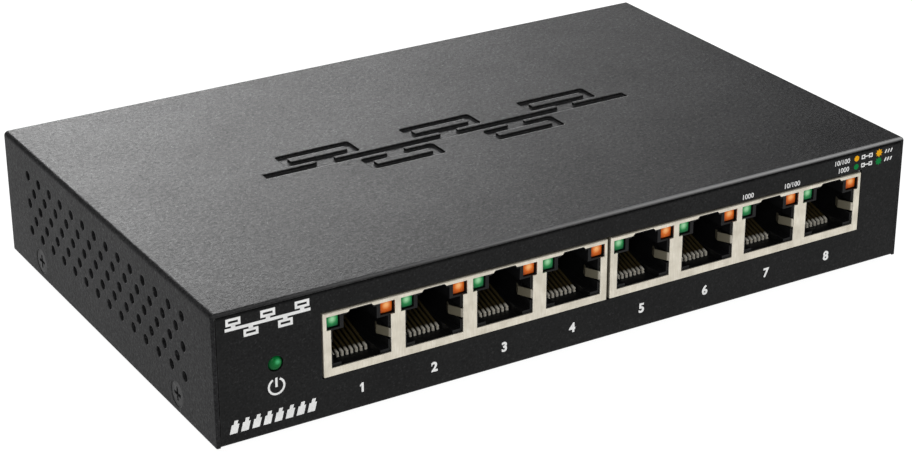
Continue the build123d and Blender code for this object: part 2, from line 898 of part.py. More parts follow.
def build_contact_springs(number, port_x):
    """The eight sprung arms of one port, which rise to the rear and are pressed down by a plug."""
    knee = (
        pivot_y + contact_reach * cos(radians(contact_angle)),
        pivot_z + contact_reach * sin(radians(contact_angle)),
    )
    tip = (
        knee[0] + contact_tip * cos(radians(contact_tip_angle)),
        knee[1] + contact_tip * sin(radians(contact_tip_angle)),
    )
    with BuildPart() as springs:
        with BuildSketch(*[side_plane(x) for x in contact_xs(port_x)]):
            strip([(pivot_y, pivot_z), knee, tip], contact_thickness)
        extrude(amount=contact_width / 2, both=True)
    save(springs, f"port_{number}_contacts")


def build_port_lights(side_name, gang_x):
    """The rectangular lights of one gang: a green link light and an amber activity light a port."""
    for kind, side in (("link", -1), ("activity", 1)):
        with BuildPart() as lights:
            with BuildSketch(front_plane(light_front)):
                with Locations(*[(x + side * light_reach, light_z) for x in port_centres(gang_x)]):
                    RectangleRounded(light_width, light_height, light_round)
            extrude(amount=-light_length)
            fillet(lights.faces().group_by(Axis.Y)[0].edges(), light_round * 2 / 3)
        save(lights, f"{kind}_lights_{side_name}")


def build_port_light_leads(side_name, gang_x):
    """The bent leads of one gang's lights, over the back of the insulator and down to the board."""
    at = [x for light_x in light_xs(gang_x) for x in spaced(light_x, 2, light_lead_pitch)]
    half = lead_size / 2
    with BuildPart() as leads:
        block((-half, half), (light_front + light_length, light_lead_y + half), about(light_z, half), at)
        block((-half, half), about(light_lead_y, half), (lead_end, light_z), at)
    save(leads, f"port_light_leads_{side_name}")


# ------------------------------------------------------------------ power light
def build_power_light_pieces():
    """The power light's lens, its leads and the black spacer that holds it square to the board."""
    with BuildPart() as lens:
        with BuildSketch(front_plane(holder_y)):
            with Locations((power_x, power_z)):
                Circle(power_radius)
        extrude(amount=power_length)
        fillet(lens.edges().sort_by(Axis.Y)[0], power_dome)
        with BuildSketch(front_plane(holder_y)):
            with Locations((power_x, power_z)):
                Circle(power_rim_radius)
        extrude(amount=power_rim)
    save(lens, "power_light")

    at = spaced(power_x, 2, power_lead_pitch)
    half = lead_size / 2
    with BuildPart() as leads:
        block((-half, half), (holder_y, power_lead_y + half), about(power_z, half), at)
        block((-half, half), about(power_lead_y, half), (lead_end, power_z), at)
    save(leads, "power_light_leads")

    with BuildPart() as holder:
        block(
            about(power_x, holder_width / 2),
            (holder_y, holder_y + holder_depth),
            (board_top, power_z + holder_above),
        )
        block(
            about(0, half + lead_play),
            (holder_y, holder_y + holder_depth),
            about(power_z, half + lead_play),
            at,
            Mode.SUBTRACT,
        )
    save(holder, "power_light_holder")


# ------------------------------------------------------------------ power inlet
def build_power_inlet():
    """The barrel inlet: housing, centre pin, fixed terminals and the sprung sleeve contact."""
    back = inlet_face - inlet_depth
    bore_end = inlet_face - inlet_bore_depth
    half_sheet = sleeve_sheet / 2
    with BuildPart() as housing:
        block(about(inlet_x, inlet_width / 2), (back, inlet_face), (board_top, board_top + inlet_height))
        fillet(housing.edges().filter_by(Axis.Y).group_by(Axis.Z)[-1], inlet_round)
        with BuildSketch(front_plane(inlet_face)):
            with Locations((inlet_x, inlet_z)):
                Circle(inlet_bore_radius)
        extrude(amount=inlet_bore_depth, mode=Mode.SUBTRACT)
        with BuildSketch(front_plane(inlet_face)):
            with Locations((inlet_x, inlet_z)):
                Circle(inlet_pin_radius + inlet_play)
        extrude(amount=inlet_face - pin_tab_y, mode=Mode.SUBTRACT)
        block(
            about(inlet_x, sleeve_width / 2 + sleeve_side_play),
            (sleeve_y - sleeve_reach - sleeve_room, sleeve_y + sleeve_room),
            (sleeve_slot_z, inlet_z),
            mode=Mode.SUBTRACT,
        )
        tab_half = lead_size / 2 + inlet_play
        tab_across = about(inlet_x, tab_width / 2 + inlet_play)
        block(
            tab_across,
            about(pin_tab_y, tab_half),
            (board_top, inlet_z + inlet_pin_radius + inlet_play),
            mode=Mode.SUBTRACT,
        )
        block(tab_across, about(sleeve_tab_y, tab_half), (board_top, inlet_z), mode=Mode.SUBTRACT)
    save(housing, "inlet_housing")

    with BuildPart() as pin:
        with BuildSketch(front_plane(pin_tab_y + lead_size / 2)):
            with Locations((inlet_x, inlet_z)):
                Circle(inlet_pin_radius)
        extrude(amount=-(inlet_face - inlet_pin_recess - pin_tab_y - lead_size / 2))
        fillet(pin.edges().sort_by(Axis.Y)[-1], inlet_pin_radius / 2)
    save(pin, "inlet_pin")

    with BuildPart() as terminals:
        across = about(inlet_x, tab_width / 2)
        block(across, about(pin_tab_y, lead_size / 2), (lead_end, inlet_z + inlet_pin_radius))
        floor = (sleeve_slot_z, sleeve_slot_z + sleeve_sheet)
        block(across, about(sleeve_tab_y, lead_size / 2), (lead_end, sleeve_slot_z + sleeve_sheet))
        block(across, (sleeve_tab_y, sleeve_y + half_sheet), floor)
        block(across, about(sleeve_y, half_sheet), (sleeve_slot_z, sleeve_z - half_sheet - contact_gap))
    save(terminals, "inlet_terminals")

    end = (
        sleeve_y - sleeve_reach * cos(radians(sleeve_angle)),
        sleeve_z + sleeve_reach * sin(radians(sleeve_angle)),
    )
    with BuildPart() as sleeve:
        with BuildSketch(side_plane(inlet_x)):
            strip([(sleeve_y, sleeve_z), end], sleeve_sheet)
        extrude(amount=sleeve_width / 2, both=True)
    save(sleeve, "inlet_sleeve_spring")


# ------------------------------------------------------------------ electronics
def build_transformers():
    """The four two-port line transformers behind the jacks, and their gull-wing leads."""
    lift = board_top + package_lift
    places = []
    for gang_x in gangs.values():
        places += spaced(gang_x, 2, 2 * port_pitch)
    for number, x in enumerate(places, start=1):
        with BuildPart() as transformer:
            block(
                about(x, transformer_length / 2),
                about(transformer_y, transformer_width / 2),
                (lift, lift + transformer_height),
            )
            chamfer(transformer.faces().sort_by(Axis.Z)[-1].edges(), package_edge)
        save(transformer, f"line_transformer_{number}")
    lead_xs = [lead_x for x in places for lead_x in spaced(x, transformer_leads, transformer_lead_pitch)]
    with BuildPart() as leads:
        for side in (-1, 1):
            edge = transformer_y + side * transformer_width / 2
            lead_row(
                [(x, edge) for x in lead_xs],
                (0, side),
                transformer_lead_width,
                transformer_lead_shoulder,
                transformer_lead_reach,
            )
    save(leads, "transformer_leads")


def build_switch_chip():
    """The switch chip, its leads, the thermal pad and the finned heat sink on it."""
    lift = board_top + package_lift
    chip_top = lift + chip_thickness
    with BuildPart() as chip:
        block(about(chip_x, chip_length / 2), about(chip_y, chip_width / 2), (lift, chip_top))
        chamfer(chip.faces().sort_by(Axis.Z)[-1].edges(), package_edge)
    save(chip, "switch_chip")

    with BuildPart() as leads:
        shoulder = package_lift + chip_thickness / 2
        for side in (-1, 1):
            xs = spaced(chip_x, chip_leads_long, chip_lead_pitch)
            ys = spaced(chip_y, chip_leads_short, chip_lead_pitch)
            long_edge = chip_y + side * chip_width / 2
            short_edge = chip_x + side * chip_length / 2
            row_sizes = (chip_lead_width, shoulder, chip_lead_reach)
            lead_row([(x, long_edge) for x in xs], (0, side), *row_sizes)
            lead_row([(short_edge, y) for y in ys], (side, 0), *row_sizes)
    save(leads, "switch_chip_leads")

    pad_top = chip_top + pad_thickness
    with BuildPart() as pad:
        inset = 2 * package_edge
        block(
            about(chip_x, chip_length / 2 - inset),
            about(chip_y, chip_width / 2 - inset),
            (chip_top, pad_top),
        )
    save(pad, "thermal_pad")

    with BuildPart() as sink:
        across = about(chip_y, sink_width / 2)
        block(about(chip_x, sink_length / 2), across, (pad_top, pad_top + sink_base))
        fins = spaced(chip_x, sink_fins, (sink_length - sink_fin) / (sink_fins - 1))
        block(about(0, sink_fin / 2), across, (pad_top, pad_top + sink_height), fins)
    save(sink, "heat_sink")


def build_small_chips():
    """The power converter chip and the configuration memory, with their leads."""
    lift = board_top + package_lift
    places = {"converter_chip": converter_place, "memory_chip": memory_place}
    for name, (x, y) in places.items():
        with BuildPart() as chip:
            block(
                about(x, small_chip_length / 2),
                about(y, small_chip_width / 2),
                (lift, lift + chip_thickness),
            )
            chamfer(chip.faces().sort_by(Axis.Z)[-1].edges(), package_edge)
        save(chip, name)
    with BuildPart() as leads:
        for x, y in places.values():
            for side in (-1, 1):
                edge = y + side * small_chip_width / 2
                row = [(lead_x, edge) for lead_x in spaced(x, small_chip_leads, small_chip_lead_pitch)]
                shoulder = package_lift + chip_thickness / 2
                lead_row(row, (0, side), small_chip_lead_width, shoulder, chip_lead_reach)
    save(leads, "small_chip_leads")


def build_capacitors():
    """The three electrolytic capacitor cans, each with its crimped groove."""
    for name, (x, radius, height) in cans.items():
        with BuildPart() as can:
            with BuildSketch(Plane(origin=(x, can_y, board_top), x_dir=(1, 0, 0), z_dir=(0, -1, 0))):
                with BuildLine():
                    Polyline(
                        (0, 0),
                        (radius, 0),
                        (radius, can_groove_height),
                        (radius - can_groove, can_groove_height + can_groove),
                        (radius, can_groove_height + 2 * can_groove),
                        (radius, height),
                        (0, height),
                        close=True,
                    )
                make_face()
            revolve(axis=Axis((x, can_y, board_top), (0, 0, 1)))
            fillet(can.edges().sort_by(Axis.Z)[-1], 2 * can_groove)
        save(can, name)


def build_crystal():
    """The metal-canned crystal."""
    crystal_x, crystal_y = crystal_place
    with BuildPart() as crystal:
        with BuildSketch(Plane.XY.offset(board_top)):
            with Locations(crystal_place):
                SlotOverall(crystal_length, crystal_width)
        extrude(amount=crystal_rim)
        with BuildSketch(Plane.XY.offset(board_top + crystal_rim)):
            with Locations((crystal_x, crystal_y)):
                SlotOverall(crystal_length - 2 * crystal_rim, crystal_width - 2 * crystal_rim)
        extrude(amount=crystal_height - crystal_rim)
        fillet(crystal.faces().sort_by(Axis.Z)[-1].edges(), crystal_rim)
    save(crystal, "crystal")


def build_component_leads():
    """The straight leads of the capacitors and of the crystal."""
    with BuildPart() as leads:
        for x, y in component_lead_places():
            block(about(x, lead_size / 2), about(y, lead_size / 2), (lead_end, board_top))
    save(leads, "component_leads")


def build_inductor_and_diode():
    """The converter's shielded inductor and its rectifier diode."""
    inductor_x, inductor_y = inductor_place
    with BuildPart() as inductor:
        block(
            about(inductor_x, inductor_size / 2),
            about(inductor_y, inductor_size / 2),
            (board_top, board_top + inductor_height),
        )
        chamfer(inductor.edges().filter_by(Axis.Z), inductor_corner)
        chamfer(inductor.faces().sort_by(Axis.Z)[-1].edges(), package_edge)
    save(inductor, "inductor")

    diode_x, diode_y = diode_place
    with BuildPart() as diode:
        block(
            about(diode_x, small_chip_width / 3),
            about(diode_y, small_chip_length / 2),
            (board_top + package_lift, board_top + chip_thickness),
        )
        block(
            about(diode_x, small_chip_width / 5),
            about(diode_y, small_chip_length * 3 / 5),
            (board_top, board_top + 2 * package_lift),
        )
    save(diode, "diode")


def build_chip_parts():
    """A row of chip resistors and a row of chip capacitors between the transformers and the switch chip."""
    rows = {
        "chip_resistors": (resistor_row, resistor_thickness),
        "chip_capacitors": (capacitor_row, capacitor_thickness),
    }
    for name, (y, thickness) in rows.items():
        with BuildPart() as parts:
            block(
                about(0, chip_part_length / 2),
                about(y, chip_part_width / 2),
                (board_top, board_top + thickness),
                spaced(chip_x, chip_parts_per_row, chip_part_pitch),
            )
        save(parts, name)


# ------------------------------------------------------------------ the whole switch
build_top_cover()
build_base_tray()
build_cover_screws()
build_feet()
build_rating_label()
build_circuit_board()
build_board_screws()
port_number = 0
for side_name, gang_x in gangs.items():
    build_shield(side_name, gang_x)
    build_housing(side_name, gang_x)
    build_contact_carriers(side_name, gang_x)
    build_contact_posts(side_name, gang_x)
    for port_x in port_centres(gang_x):
        port_number += 1
        build_contact_springs(port_number, port_x)
    build_port_lights(side_name, gang_x)
    build_port_light_leads(side_name, gang_x)
build_power_light_pieces()
build_power_inlet()
build_transformers()
build_switch_chip()
build_small_chips()
build_capacitors()
build_crystal()
build_component_leads()
build_inductor_and_diode()
build_chip_parts()
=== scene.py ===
"""Finishes, panel print and studio of an eight-port desktop network switch in a folded sheet-metal case."""
import logging
import math
from dataclasses import dataclass, field
from enum import Enum

import bmesh
import bpy
from mathutils import Matrix, Vector


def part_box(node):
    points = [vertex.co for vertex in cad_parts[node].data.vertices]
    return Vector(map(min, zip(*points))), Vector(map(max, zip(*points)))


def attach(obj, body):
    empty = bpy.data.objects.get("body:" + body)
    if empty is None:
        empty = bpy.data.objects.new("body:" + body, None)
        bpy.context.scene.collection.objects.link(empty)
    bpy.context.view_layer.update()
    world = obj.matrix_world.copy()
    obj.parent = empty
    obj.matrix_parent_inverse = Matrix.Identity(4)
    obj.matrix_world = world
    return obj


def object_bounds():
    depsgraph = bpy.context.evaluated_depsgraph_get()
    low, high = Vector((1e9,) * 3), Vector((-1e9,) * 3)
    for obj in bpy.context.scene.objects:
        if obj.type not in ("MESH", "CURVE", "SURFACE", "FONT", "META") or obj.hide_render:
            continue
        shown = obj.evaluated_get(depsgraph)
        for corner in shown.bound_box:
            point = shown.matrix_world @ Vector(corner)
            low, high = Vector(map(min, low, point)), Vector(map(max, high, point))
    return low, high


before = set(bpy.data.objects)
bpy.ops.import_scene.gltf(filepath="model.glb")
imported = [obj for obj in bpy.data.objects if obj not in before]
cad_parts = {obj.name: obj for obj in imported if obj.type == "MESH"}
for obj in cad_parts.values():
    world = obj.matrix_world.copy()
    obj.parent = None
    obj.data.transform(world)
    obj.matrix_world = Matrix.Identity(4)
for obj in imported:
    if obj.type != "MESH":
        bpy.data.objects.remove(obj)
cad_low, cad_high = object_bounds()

log = logging.getLogger("desktop_switch")
MM = 0.001
BODY = "case"
PORTS = 8
FIGURE_SHARE = 0.72  # the height of a figure in the built-in face, as a share of its size
EDGE_BLOTCH_MM = 1.6
LEAST_EDGE_BLOTCH = 0.25
EDGE_TURN = (0.86, 0.995)
MOTTLE_TINT = 0.82
MOTTLE_SHARE = 0.5
FULL = (0.0, 1.0)
Colour = tuple[float, float, float]
Point = tuple[float, float]
Place = tuple[float, float, float]
Socket = bpy.types.NodeSocket
# The outline of a figure one with a flag: millimetres across, and shares of half its height up.
FIGURE_ONE = (
    (-0.12, -1.0), (0.34, -1.0), (0.34, 1.0), (-0.06, 1.0), (-0.5, 0.45), (-0.4, 0.2), (-0.12, 0.48),
)
# The outline of a port seen face on: shares of its width across, and of its height up.
PORT_OUTLINE = (
    (0.0, 0.0), (1.0, 0.0), (1.0, 0.7), (0.75, 0.7), (0.75, 1.0), (0.25, 1.0), (0.25, 0.7), (0.0, 0.7),
)


class Relief(Enum):
    """The kind of fine surface that a finish has."""

    GRAINED = "grained"
    BRUSHED = "brushed"
    SMOOTH = "smooth"


materials: dict["Finish", bpy.types.Material] = {}


# ---------------------------------------------------------------- finishes
class Shader:
    """A short hand for building one material's node tree round a Principled shader."""

    def __init__(self, name: str) -> None:
        """Start an empty material.

        Args:
            name: The material's name.
        """
        self.material = bpy.data.materials.new(name)
        self.material.use_nodes = True
        self.tree = self.material.node_tree
        self.surface = self.tree.nodes["Principled BSDF"]
        self.place = self.add("ShaderNodeTexCoord").outputs["Object"]

    def add(self, kind: str, **settings: object) -> bpy.types.Node:
        """Add a node and set its properties.

        Args:
            kind: The node's type name.
            settings: Property names and values.

        Returns:
            The new node.
        """
        node = self.tree.nodes.new(kind)
        for name, value in settings.items():
            setattr(node, name, value)
        return node

    def link(self, source: Socket, target: Socket) -> None:
        """Join one socket to another."""
        self.tree.links.new(source, target)

    def set(self, **values: object) -> None:
        """Set plain values on the shader, with underscores for the spaces of a socket's name."""
        for name, value in values.items():
            self.surface.inputs[name.replace("_", " ")].default_value = value

    def stretched(self, stretch: Place) -> Socket:
        """Give the object's coordinates with each axis scaled.

        Args:
            stretch: The scale along x, y and z.

        Returns:
            The socket of the scaled coordinates.
        """
        mapping = self.add("ShaderNodeMapping")
        mapping.inputs["Scale"].default_value = stretch
        self.link(self.place, mapping.inputs["Vector"])
        return mapping.outputs["Vector"]

    def noise(self, size_mm: float, detail: float = 3.0, stretch: Place = (1, 1, 1)) -> Socket:
        """Add a noise of a real size.

        Args:
            size_mm: The size of its largest blotches.
            detail: How many finer layers it has.
            stretch: The scale along x, y and z.

        Returns:
            The socket of the noise's value.
        """
        node = self.add("ShaderNodeTexNoise")
        node.inputs["Scale"].default_value = 1 / (size_mm * MM)
        node.inputs["Detail"].default_value = detail
        node.inputs["Roughness"].default_value = 0.6
        self.link(self.stretched(stretch), node.inputs["Vector"])
        return node.outputs["Fac"]

    def ramp(self, source: Socket, low: float, high: float, between: Point = (0.35, 0.65)) -> Socket:
        """Map a value's middle range onto another range.

        Args:
            source: The socket of the value.
            low: The result at the range's lower end.
            high: The result at the range's upper end.
            between: The range of the value.

        Returns:
            The socket of the mapped value.
        """
        node = self.add("ShaderNodeMapRange")
        node.inputs["From Min"].default_value = between[0]
        node.inputs["From Max"].default_value = between[1]
        node.inputs["To Min"].default_value = low
        node.inputs["To Max"].default_value = high
        self.link(source, node.inputs["Value"])
        return node.outputs["Result"]

    def blend(self, share: Socket, first: Colour | Socket, second: Colour) -> Socket:
        """Mix two colours by a share.

        Args:
            share: The socket of the second colour's share.
            first: The colour, or the socket of a colour, where the share is 0.
            second: The colour where the share is 1.

        Returns:
            The socket of the mixed colour.
        """
        node = self.add("ShaderNodeMix", data_type="RGBA")
        self.link(share, node.inputs["Factor"])
        if isinstance(first, tuple):
            node.inputs[6].default_value = (*first, 1)
        else:
            self.link(first, node.inputs[6])
        node.inputs[7].default_value = (*second, 1)
        return node.outputs[2]

    def bump(self, height: Socket, depth_mm: float) -> None:
        """Raise the surface by a height.

        Args:
            height: The socket of the height, from 0 to 1.
            depth_mm: The real height of 1.
        """
        node = self.add("ShaderNodeBump")
        node.inputs["Distance"].default_value = depth_mm * MM
        self.link(height, node.inputs["Height"])
        normal = self.surface.inputs["Normal"]
        if normal.is_linked:
            self.link(normal.links[0].from_socket, node.inputs["Normal"])
        self.link(node.outputs["Normal"], normal)

    def rounded(self, radius_mm: float) -> Socket:
        """Give the surface's direction as if its sharp edges were rounded.

        Args:
            radius_mm: The radius of the rounding.

        Returns:
            The socket of the rounded direction.
        """
        bevel = self.add("ShaderNodeBevel", samples=6)
        bevel.inputs["Radius"].default_value = radius_mm * MM
        return bevel.outputs["Normal"]

    def along(
        self, axis: int, low_mm: float, high_mm: float, start: float = 0.0, end: float = 1.0
    ) -> Socket:
        """Give a value that changes with the place along one axis.

        Args:
            axis: 0 for x, 1 for y and 2 for z.
            low_mm: Where the change starts.
            high_mm: Where it ends.
            start: The value before it.
            end: The value past it.

        Returns:
            The socket of the value.
        """
        split = self.add("ShaderNodeSeparateXYZ")
        self.link(self.place, split.inputs["Vector"])
        return self.ramp(split.outputs[axis], start, end, (low_mm * MM, high_mm * MM))

    def product(self, *factors: Socket) -> Socket:
        """Multiply values.

        Args:
            factors: The sockets of the values.

        Returns:
            The socket of their product.
        """
        result = factors[0]
        for factor in factors[1:]:
            node = self.add("ShaderNodeMath", operation="MULTIPLY")
            self.link(result, node.inputs[0])
            self.link(factor, node.inputs[1])
            result = node.outputs["Value"]
        return result

    def nearest(self, centres: list[Vector]) -> Socket:
        """Give the distance to the nearest of some points.

        Args:
            centres: The points, in metres.

        Returns:
            The socket of the distance, in metres.
        """
        result = None
        for centre in centres:
            apart = self.add("ShaderNodeVectorMath", operation="DISTANCE")
            self.link(self.place, apart.inputs[0])
            apart.inputs[1].default_value = centre
            if result is None:
                result = apart.outputs["Value"]
                continue
            least = self.add("ShaderNodeMath", operation="MINIMUM")
            self.link(result, least.inputs[0])
            self.link(apart.outputs["Value"], least.inputs[1])
            result = least.outputs["Value"]
        return result

    def recolour(self, share: Socket, colour: Colour) -> None:
        """Blend another colour into the one that the shader has so far.

        Args:
            share: The socket of the new colour's share.
            colour: The new colour.
        """
        base = self.surface.inputs["Base Color"]
        self.link(self.blend(share, base.links[0].from_socket, colour), base)

    def dull(self, share: Socket, colour: Colour, shine: float) -> None:
        """Blend painted shade, a matt colour without metal, into the one that the shader has so far.

        Args:
            share: The socket of the painted shade's share.
            colour: The colour of the painted shade.
            shine: The specular level where the share is 1.
        """
        self.recolour(share, colour)
        metallic = self.surface.inputs["Metallic"].default_value
        level = self.surface.inputs["Specular IOR Level"].default_value
        self.link(self.ramp(share, metallic, 0.0, FULL), self.surface.inputs["Metallic"])
        self.link(self.ramp(share, level, shine, FULL), self.surface.inputs["Specular IOR Level"])

    def edges(self, radius_mm: float) -> Socket:
        """Find the piece's sharp edges.

        Args:
            radius_mm: How far from an edge counts.

        Returns:
            The socket of a value that is 0 on flats and rises to 1 at edges.
        """
        geometry = self.add("ShaderNodeNewGeometry")
        dot = self.add("ShaderNodeVectorMath", operation="DOT_PRODUCT")
        self.link(self.rounded(radius_mm), dot.inputs[0])
        self.link(geometry.outputs["True Normal"], dot.inputs[1])
        return self.ramp(dot.outputs["Value"], 1.0, 0.0, EDGE_TURN)


@dataclass(frozen=True)
class Finish:
    """A surface finish: its colour and how much that varies, its gloss and its fine relief."""

    name: str
    colour: Colour
    accent: Colour
    metallic: float = 0.0
    roughness: float = 0.5
    roughness_spread: float = 0.06
    index: float = 1.5
    relief: Relief = Relief.GRAINED
    grain_mm: float = 0.4
    depth_mm: float = 0.01
    mottle_mm: float = 12.0
    stretch: Place = (1.0, 1.0, 1.0)
    edge_colour: Colour | None = None
    edge_mm: float = 0.25
    rounding_mm: float = 0.0

    def build(self) -> bpy.types.Material:
        """Make the material.

        Returns:
            The finished material.
        """
        shader = Shader(f"{self.name}_finish")
        shader.set(Metallic=self.metallic, IOR=self.index)
        grain = shader.noise(self.grain_mm, 4.0, self.stretch)
        mottle = shader.noise(self.mottle_mm, 2.0)
        colour = shader.blend(shader.ramp(grain, 0.0, 1.0), self.colour, self.accent)
        tint = tuple(MOTTLE_TINT * part for part in self.colour)
        colour = shader.blend(shader.ramp(mottle, 0.0, MOTTLE_SHARE), colour, tint)
        if self.edge_colour:
            # Sharp edges take the paler edge colour, in blotches.
            blotches = shader.ramp(shader.noise(EDGE_BLOTCH_MM), LEAST_EDGE_BLOTCH, 1.0)
            edge_share = shader.product(shader.edges(self.edge_mm), blotches)
            colour = shader.blend(edge_share, colour, self.edge_colour)
        shader.link(colour, shader.surface.inputs["Base Color"])
        low = self.roughness - self.roughness_spread
        high = self.roughness + self.roughness_spread
        shader.link(shader.ramp(mottle, low, high), shader.surface.inputs["Roughness"])
        if self.rounding_mm:
            shader.link(shader.rounded(self.rounding_mm), shader.surface.inputs["Normal"])
        if self.relief is not Relief.SMOOTH:
            shader.bump(grain, self.depth_mm)
        self.refine(shader)
        return shader.material

    def refine(self, shader: Shader) -> None:
        """Add what only this kind of finish has; a plain finish adds nothing."""


@dataclass(frozen=True)
class PowderCoat(Finish):
    """Baked textured powder paint: a fine orange-peel grain with scattered painted glints."""

    orange_peel_mm: float = 0.8
    orange_peel_depth_mm: float = 0.03
    index_spread: float = 0.02
    glint: Colour = (0.3, 0.3, 0.3)
    glint_share: float = 0.35
    glint_heights: Point = (0.6, 0.78)

    def refine(self, shader: Shader) -> None:
        """Add the coarser orange peel under the fine grain, and painted glints, pale colour on the highest
        grains.

        Args:
            shader: The material's tree.
        """
        peel = shader.noise(self.orange_peel_mm, 3.0)
        shader.bump(peel, self.orange_peel_depth_mm)
        low, high = self.index - self.index_spread, self.index + self.index_spread
        shader.link(shader.ramp(peel, low, high, (0.3, 0.7)), shader.surface.inputs["IOR"])
        # Painted glints: pale colour standing in for sparkle on the highest grains.
        grain = shader.noise(self.grain_mm * 0.8, 2.0)
        shader.recolour(shader.ramp(grain, 0.0, self.glint_share, self.glint_heights), self.glint)


@dataclass(frozen=True)
class BurnishedCoat(PowderCoat):
    """Powder paint with a painted highlight along the front cut edge, least at its left end, and on
    rear-facing rims.
    """

    burnish: Colour = (0.42, 0.42, 0.42)
    burnish_mm: float = 0.45
    least_burnish: float = 0.06
    fade_left_mm: float = 12.0
    fade_right_mm: float = 30.0
    rim_mm: float = 0.3
    rear_lean: Point = (0.1, 0.4)
    up_lean: Point = (0.3, 0.6)
    rim_share: float = 0.7

    def refine(self, shader: Shader) -> None:
        """Paint a highlight line along the cover's front top edge, and thin painted highlights on rounded
        edges that lean back.

        Args:
            shader: The material's tree.
        """
        super().refine(shader)
        low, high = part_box("top_cover")
        front, top = low.y / MM, high.z / MM
        fade_start, fade_end = low.x / MM + self.fade_left_mm, high.x / MM - self.fade_right_mm
        # Painted highlight: a pale line along the front top edge, fainter towards the left end.
        share = shader.product(
            shader.along(1, front, front + self.burnish_mm, 1.0, 0.0),
            shader.along(2, top - 1.6 * self.burnish_mm, top - 0.4 * self.burnish_mm),
            shader.along(0, fade_start, fade_end, self.least_burnish),
        )
        shader.recolour(share, self.burnish)
        # Painted highlight on rounded edges that face back and up, towards the rear lights.
        split = shader.add("ShaderNodeSeparateXYZ")
        shader.link(shader.rounded(self.rim_mm), split.inputs["Vector"])
        rim_highlight = shader.product(
            shader.ramp(split.outputs["Y"], 0.0, 1.0, self.rear_lean),
            shader.ramp(split.outputs["Z"], 0.0, self.rim_share, self.up_lean),
        )
        shader.recolour(rim_highlight, self.burnish)


@dataclass(frozen=True)
class PlatedSheet(Finish):
    """Matt tin plate with painted shade on its bent-in fingers, darker and duller behind the face."""

    stain: Colour = (0.12, 0.108, 0.076)
    clean_depth_mm: float = 0.3
    stain_depth_mm: float = 0.65
    stain_shine: float = 0.15

    def refine(self, shader: Shader) -> None:
        """Paint shade, darker and duller, on what lies behind the face.

        Args:
            shader: The material's tree.
        """
        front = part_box("jack_shield_left")[0].y / MM
        # Painted shade: the fingers inside the openings are darkened and made matt.
        behind = shader.along(1, front + self.clean_depth_mm, front + self.stain_depth_mm)
        shader.dull(behind, self.stain, self.stain_shine)


@dataclass(frozen=True)
class ContactPlate(Finish):
    """Flash gold over nickel, pale on the front bends, with painted shade that darkens it further in."""

    deep: Colour = (0.055, 0.041, 0.017)
    pale_mm: float = 0.45
    fade_mm: float = 0.8
    deep_shine: float = 0.1

    def refine(self, shader: Shader) -> None:
        """Paint shade over the colour behind the front bends.

        Args:
            shader: The material's tree.
        """
        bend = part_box("port_1_contacts")[0].y / MM + self.pale_mm
        # Painted shade: the contact arms deeper in the jack are darkened.
        shader.dull(shader.along(1, bend, bend + self.fade_mm), self.deep, self.deep_shine)


@dataclass(frozen=True)
class TintedLens(Finish):
    """Tinted clear epoxy that glows a little from within, with a painted highlight near its top and painted
    shade round its edge.
    """

    glow: float = 0.1
    crown: Colour = (0.5, 0.5, 0.5)
    rim: Colour = (0.0, 0.0, 0.0)
    crown_shift: Point = (0.0, 0.4)
    crown_mm: float = 1.0
    crown_core: float = 0.25
    rim_mm: float = 1.5
    rim_share: float = 0.9
    least_gap_mm: float = 4.0
    lights: tuple[str, ...] = ()

    def refine(self, shader: Shader) -> None:
        """Paint a highlight near each light's top and shade towards its edge.

        Args:
            shader: The material's tree.
        """
        distance = shader.nearest([centre + self.shift() for centre in self.centres()])
        # Painted highlight near the top of each light, and painted shade towards its edge.
        crown = shader.ramp(distance, 1.0, 0.0, (self.crown_core * self.crown_mm * MM, self.crown_mm * MM))
        rim = shader.ramp(distance, 0.0, self.rim_share, (self.crown_mm * MM, self.rim_mm * MM))
        shader.recolour(crown, self.crown)
        shader.recolour(rim, self.rim)
        shader.set(Emission_Strength=self.glow)
        colour = shader.surface.inputs["Base Color"].links[0].from_socket
        shader.link(colour, shader.surface.inputs["Emission Color"])

    def shift(self) -> Vector:
        """Give the painted highlight's offset from a light's middle, in metres."""
        return Vector((self.crown_shift[0], 0, self.crown_shift[1])) * MM

    def centres(self) -> list[Vector]:
        """Find the middle of every light's front face.

        Returns:
            The middles, in metres.
        """
        found = []
        for name in self.lights:
            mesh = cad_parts[name].data
            points = [vertex.co for vertex in mesh.vertices]
            front = min(point.y for point in points)
            xs = sorted(point.x for point in points)
            groups = [[xs[0]]]
            for x in xs[1:]:
                if x - groups[-1][-1] > self.least_gap_mm * MM:
                    groups.append([])
                groups[-1].append(x)
            level = (min(point.z for point in points) + max(point.z for point in points)) / 2
            found += [Vector(((group[0] + group[-1]) / 2, front, level)) for group in groups]
        return found


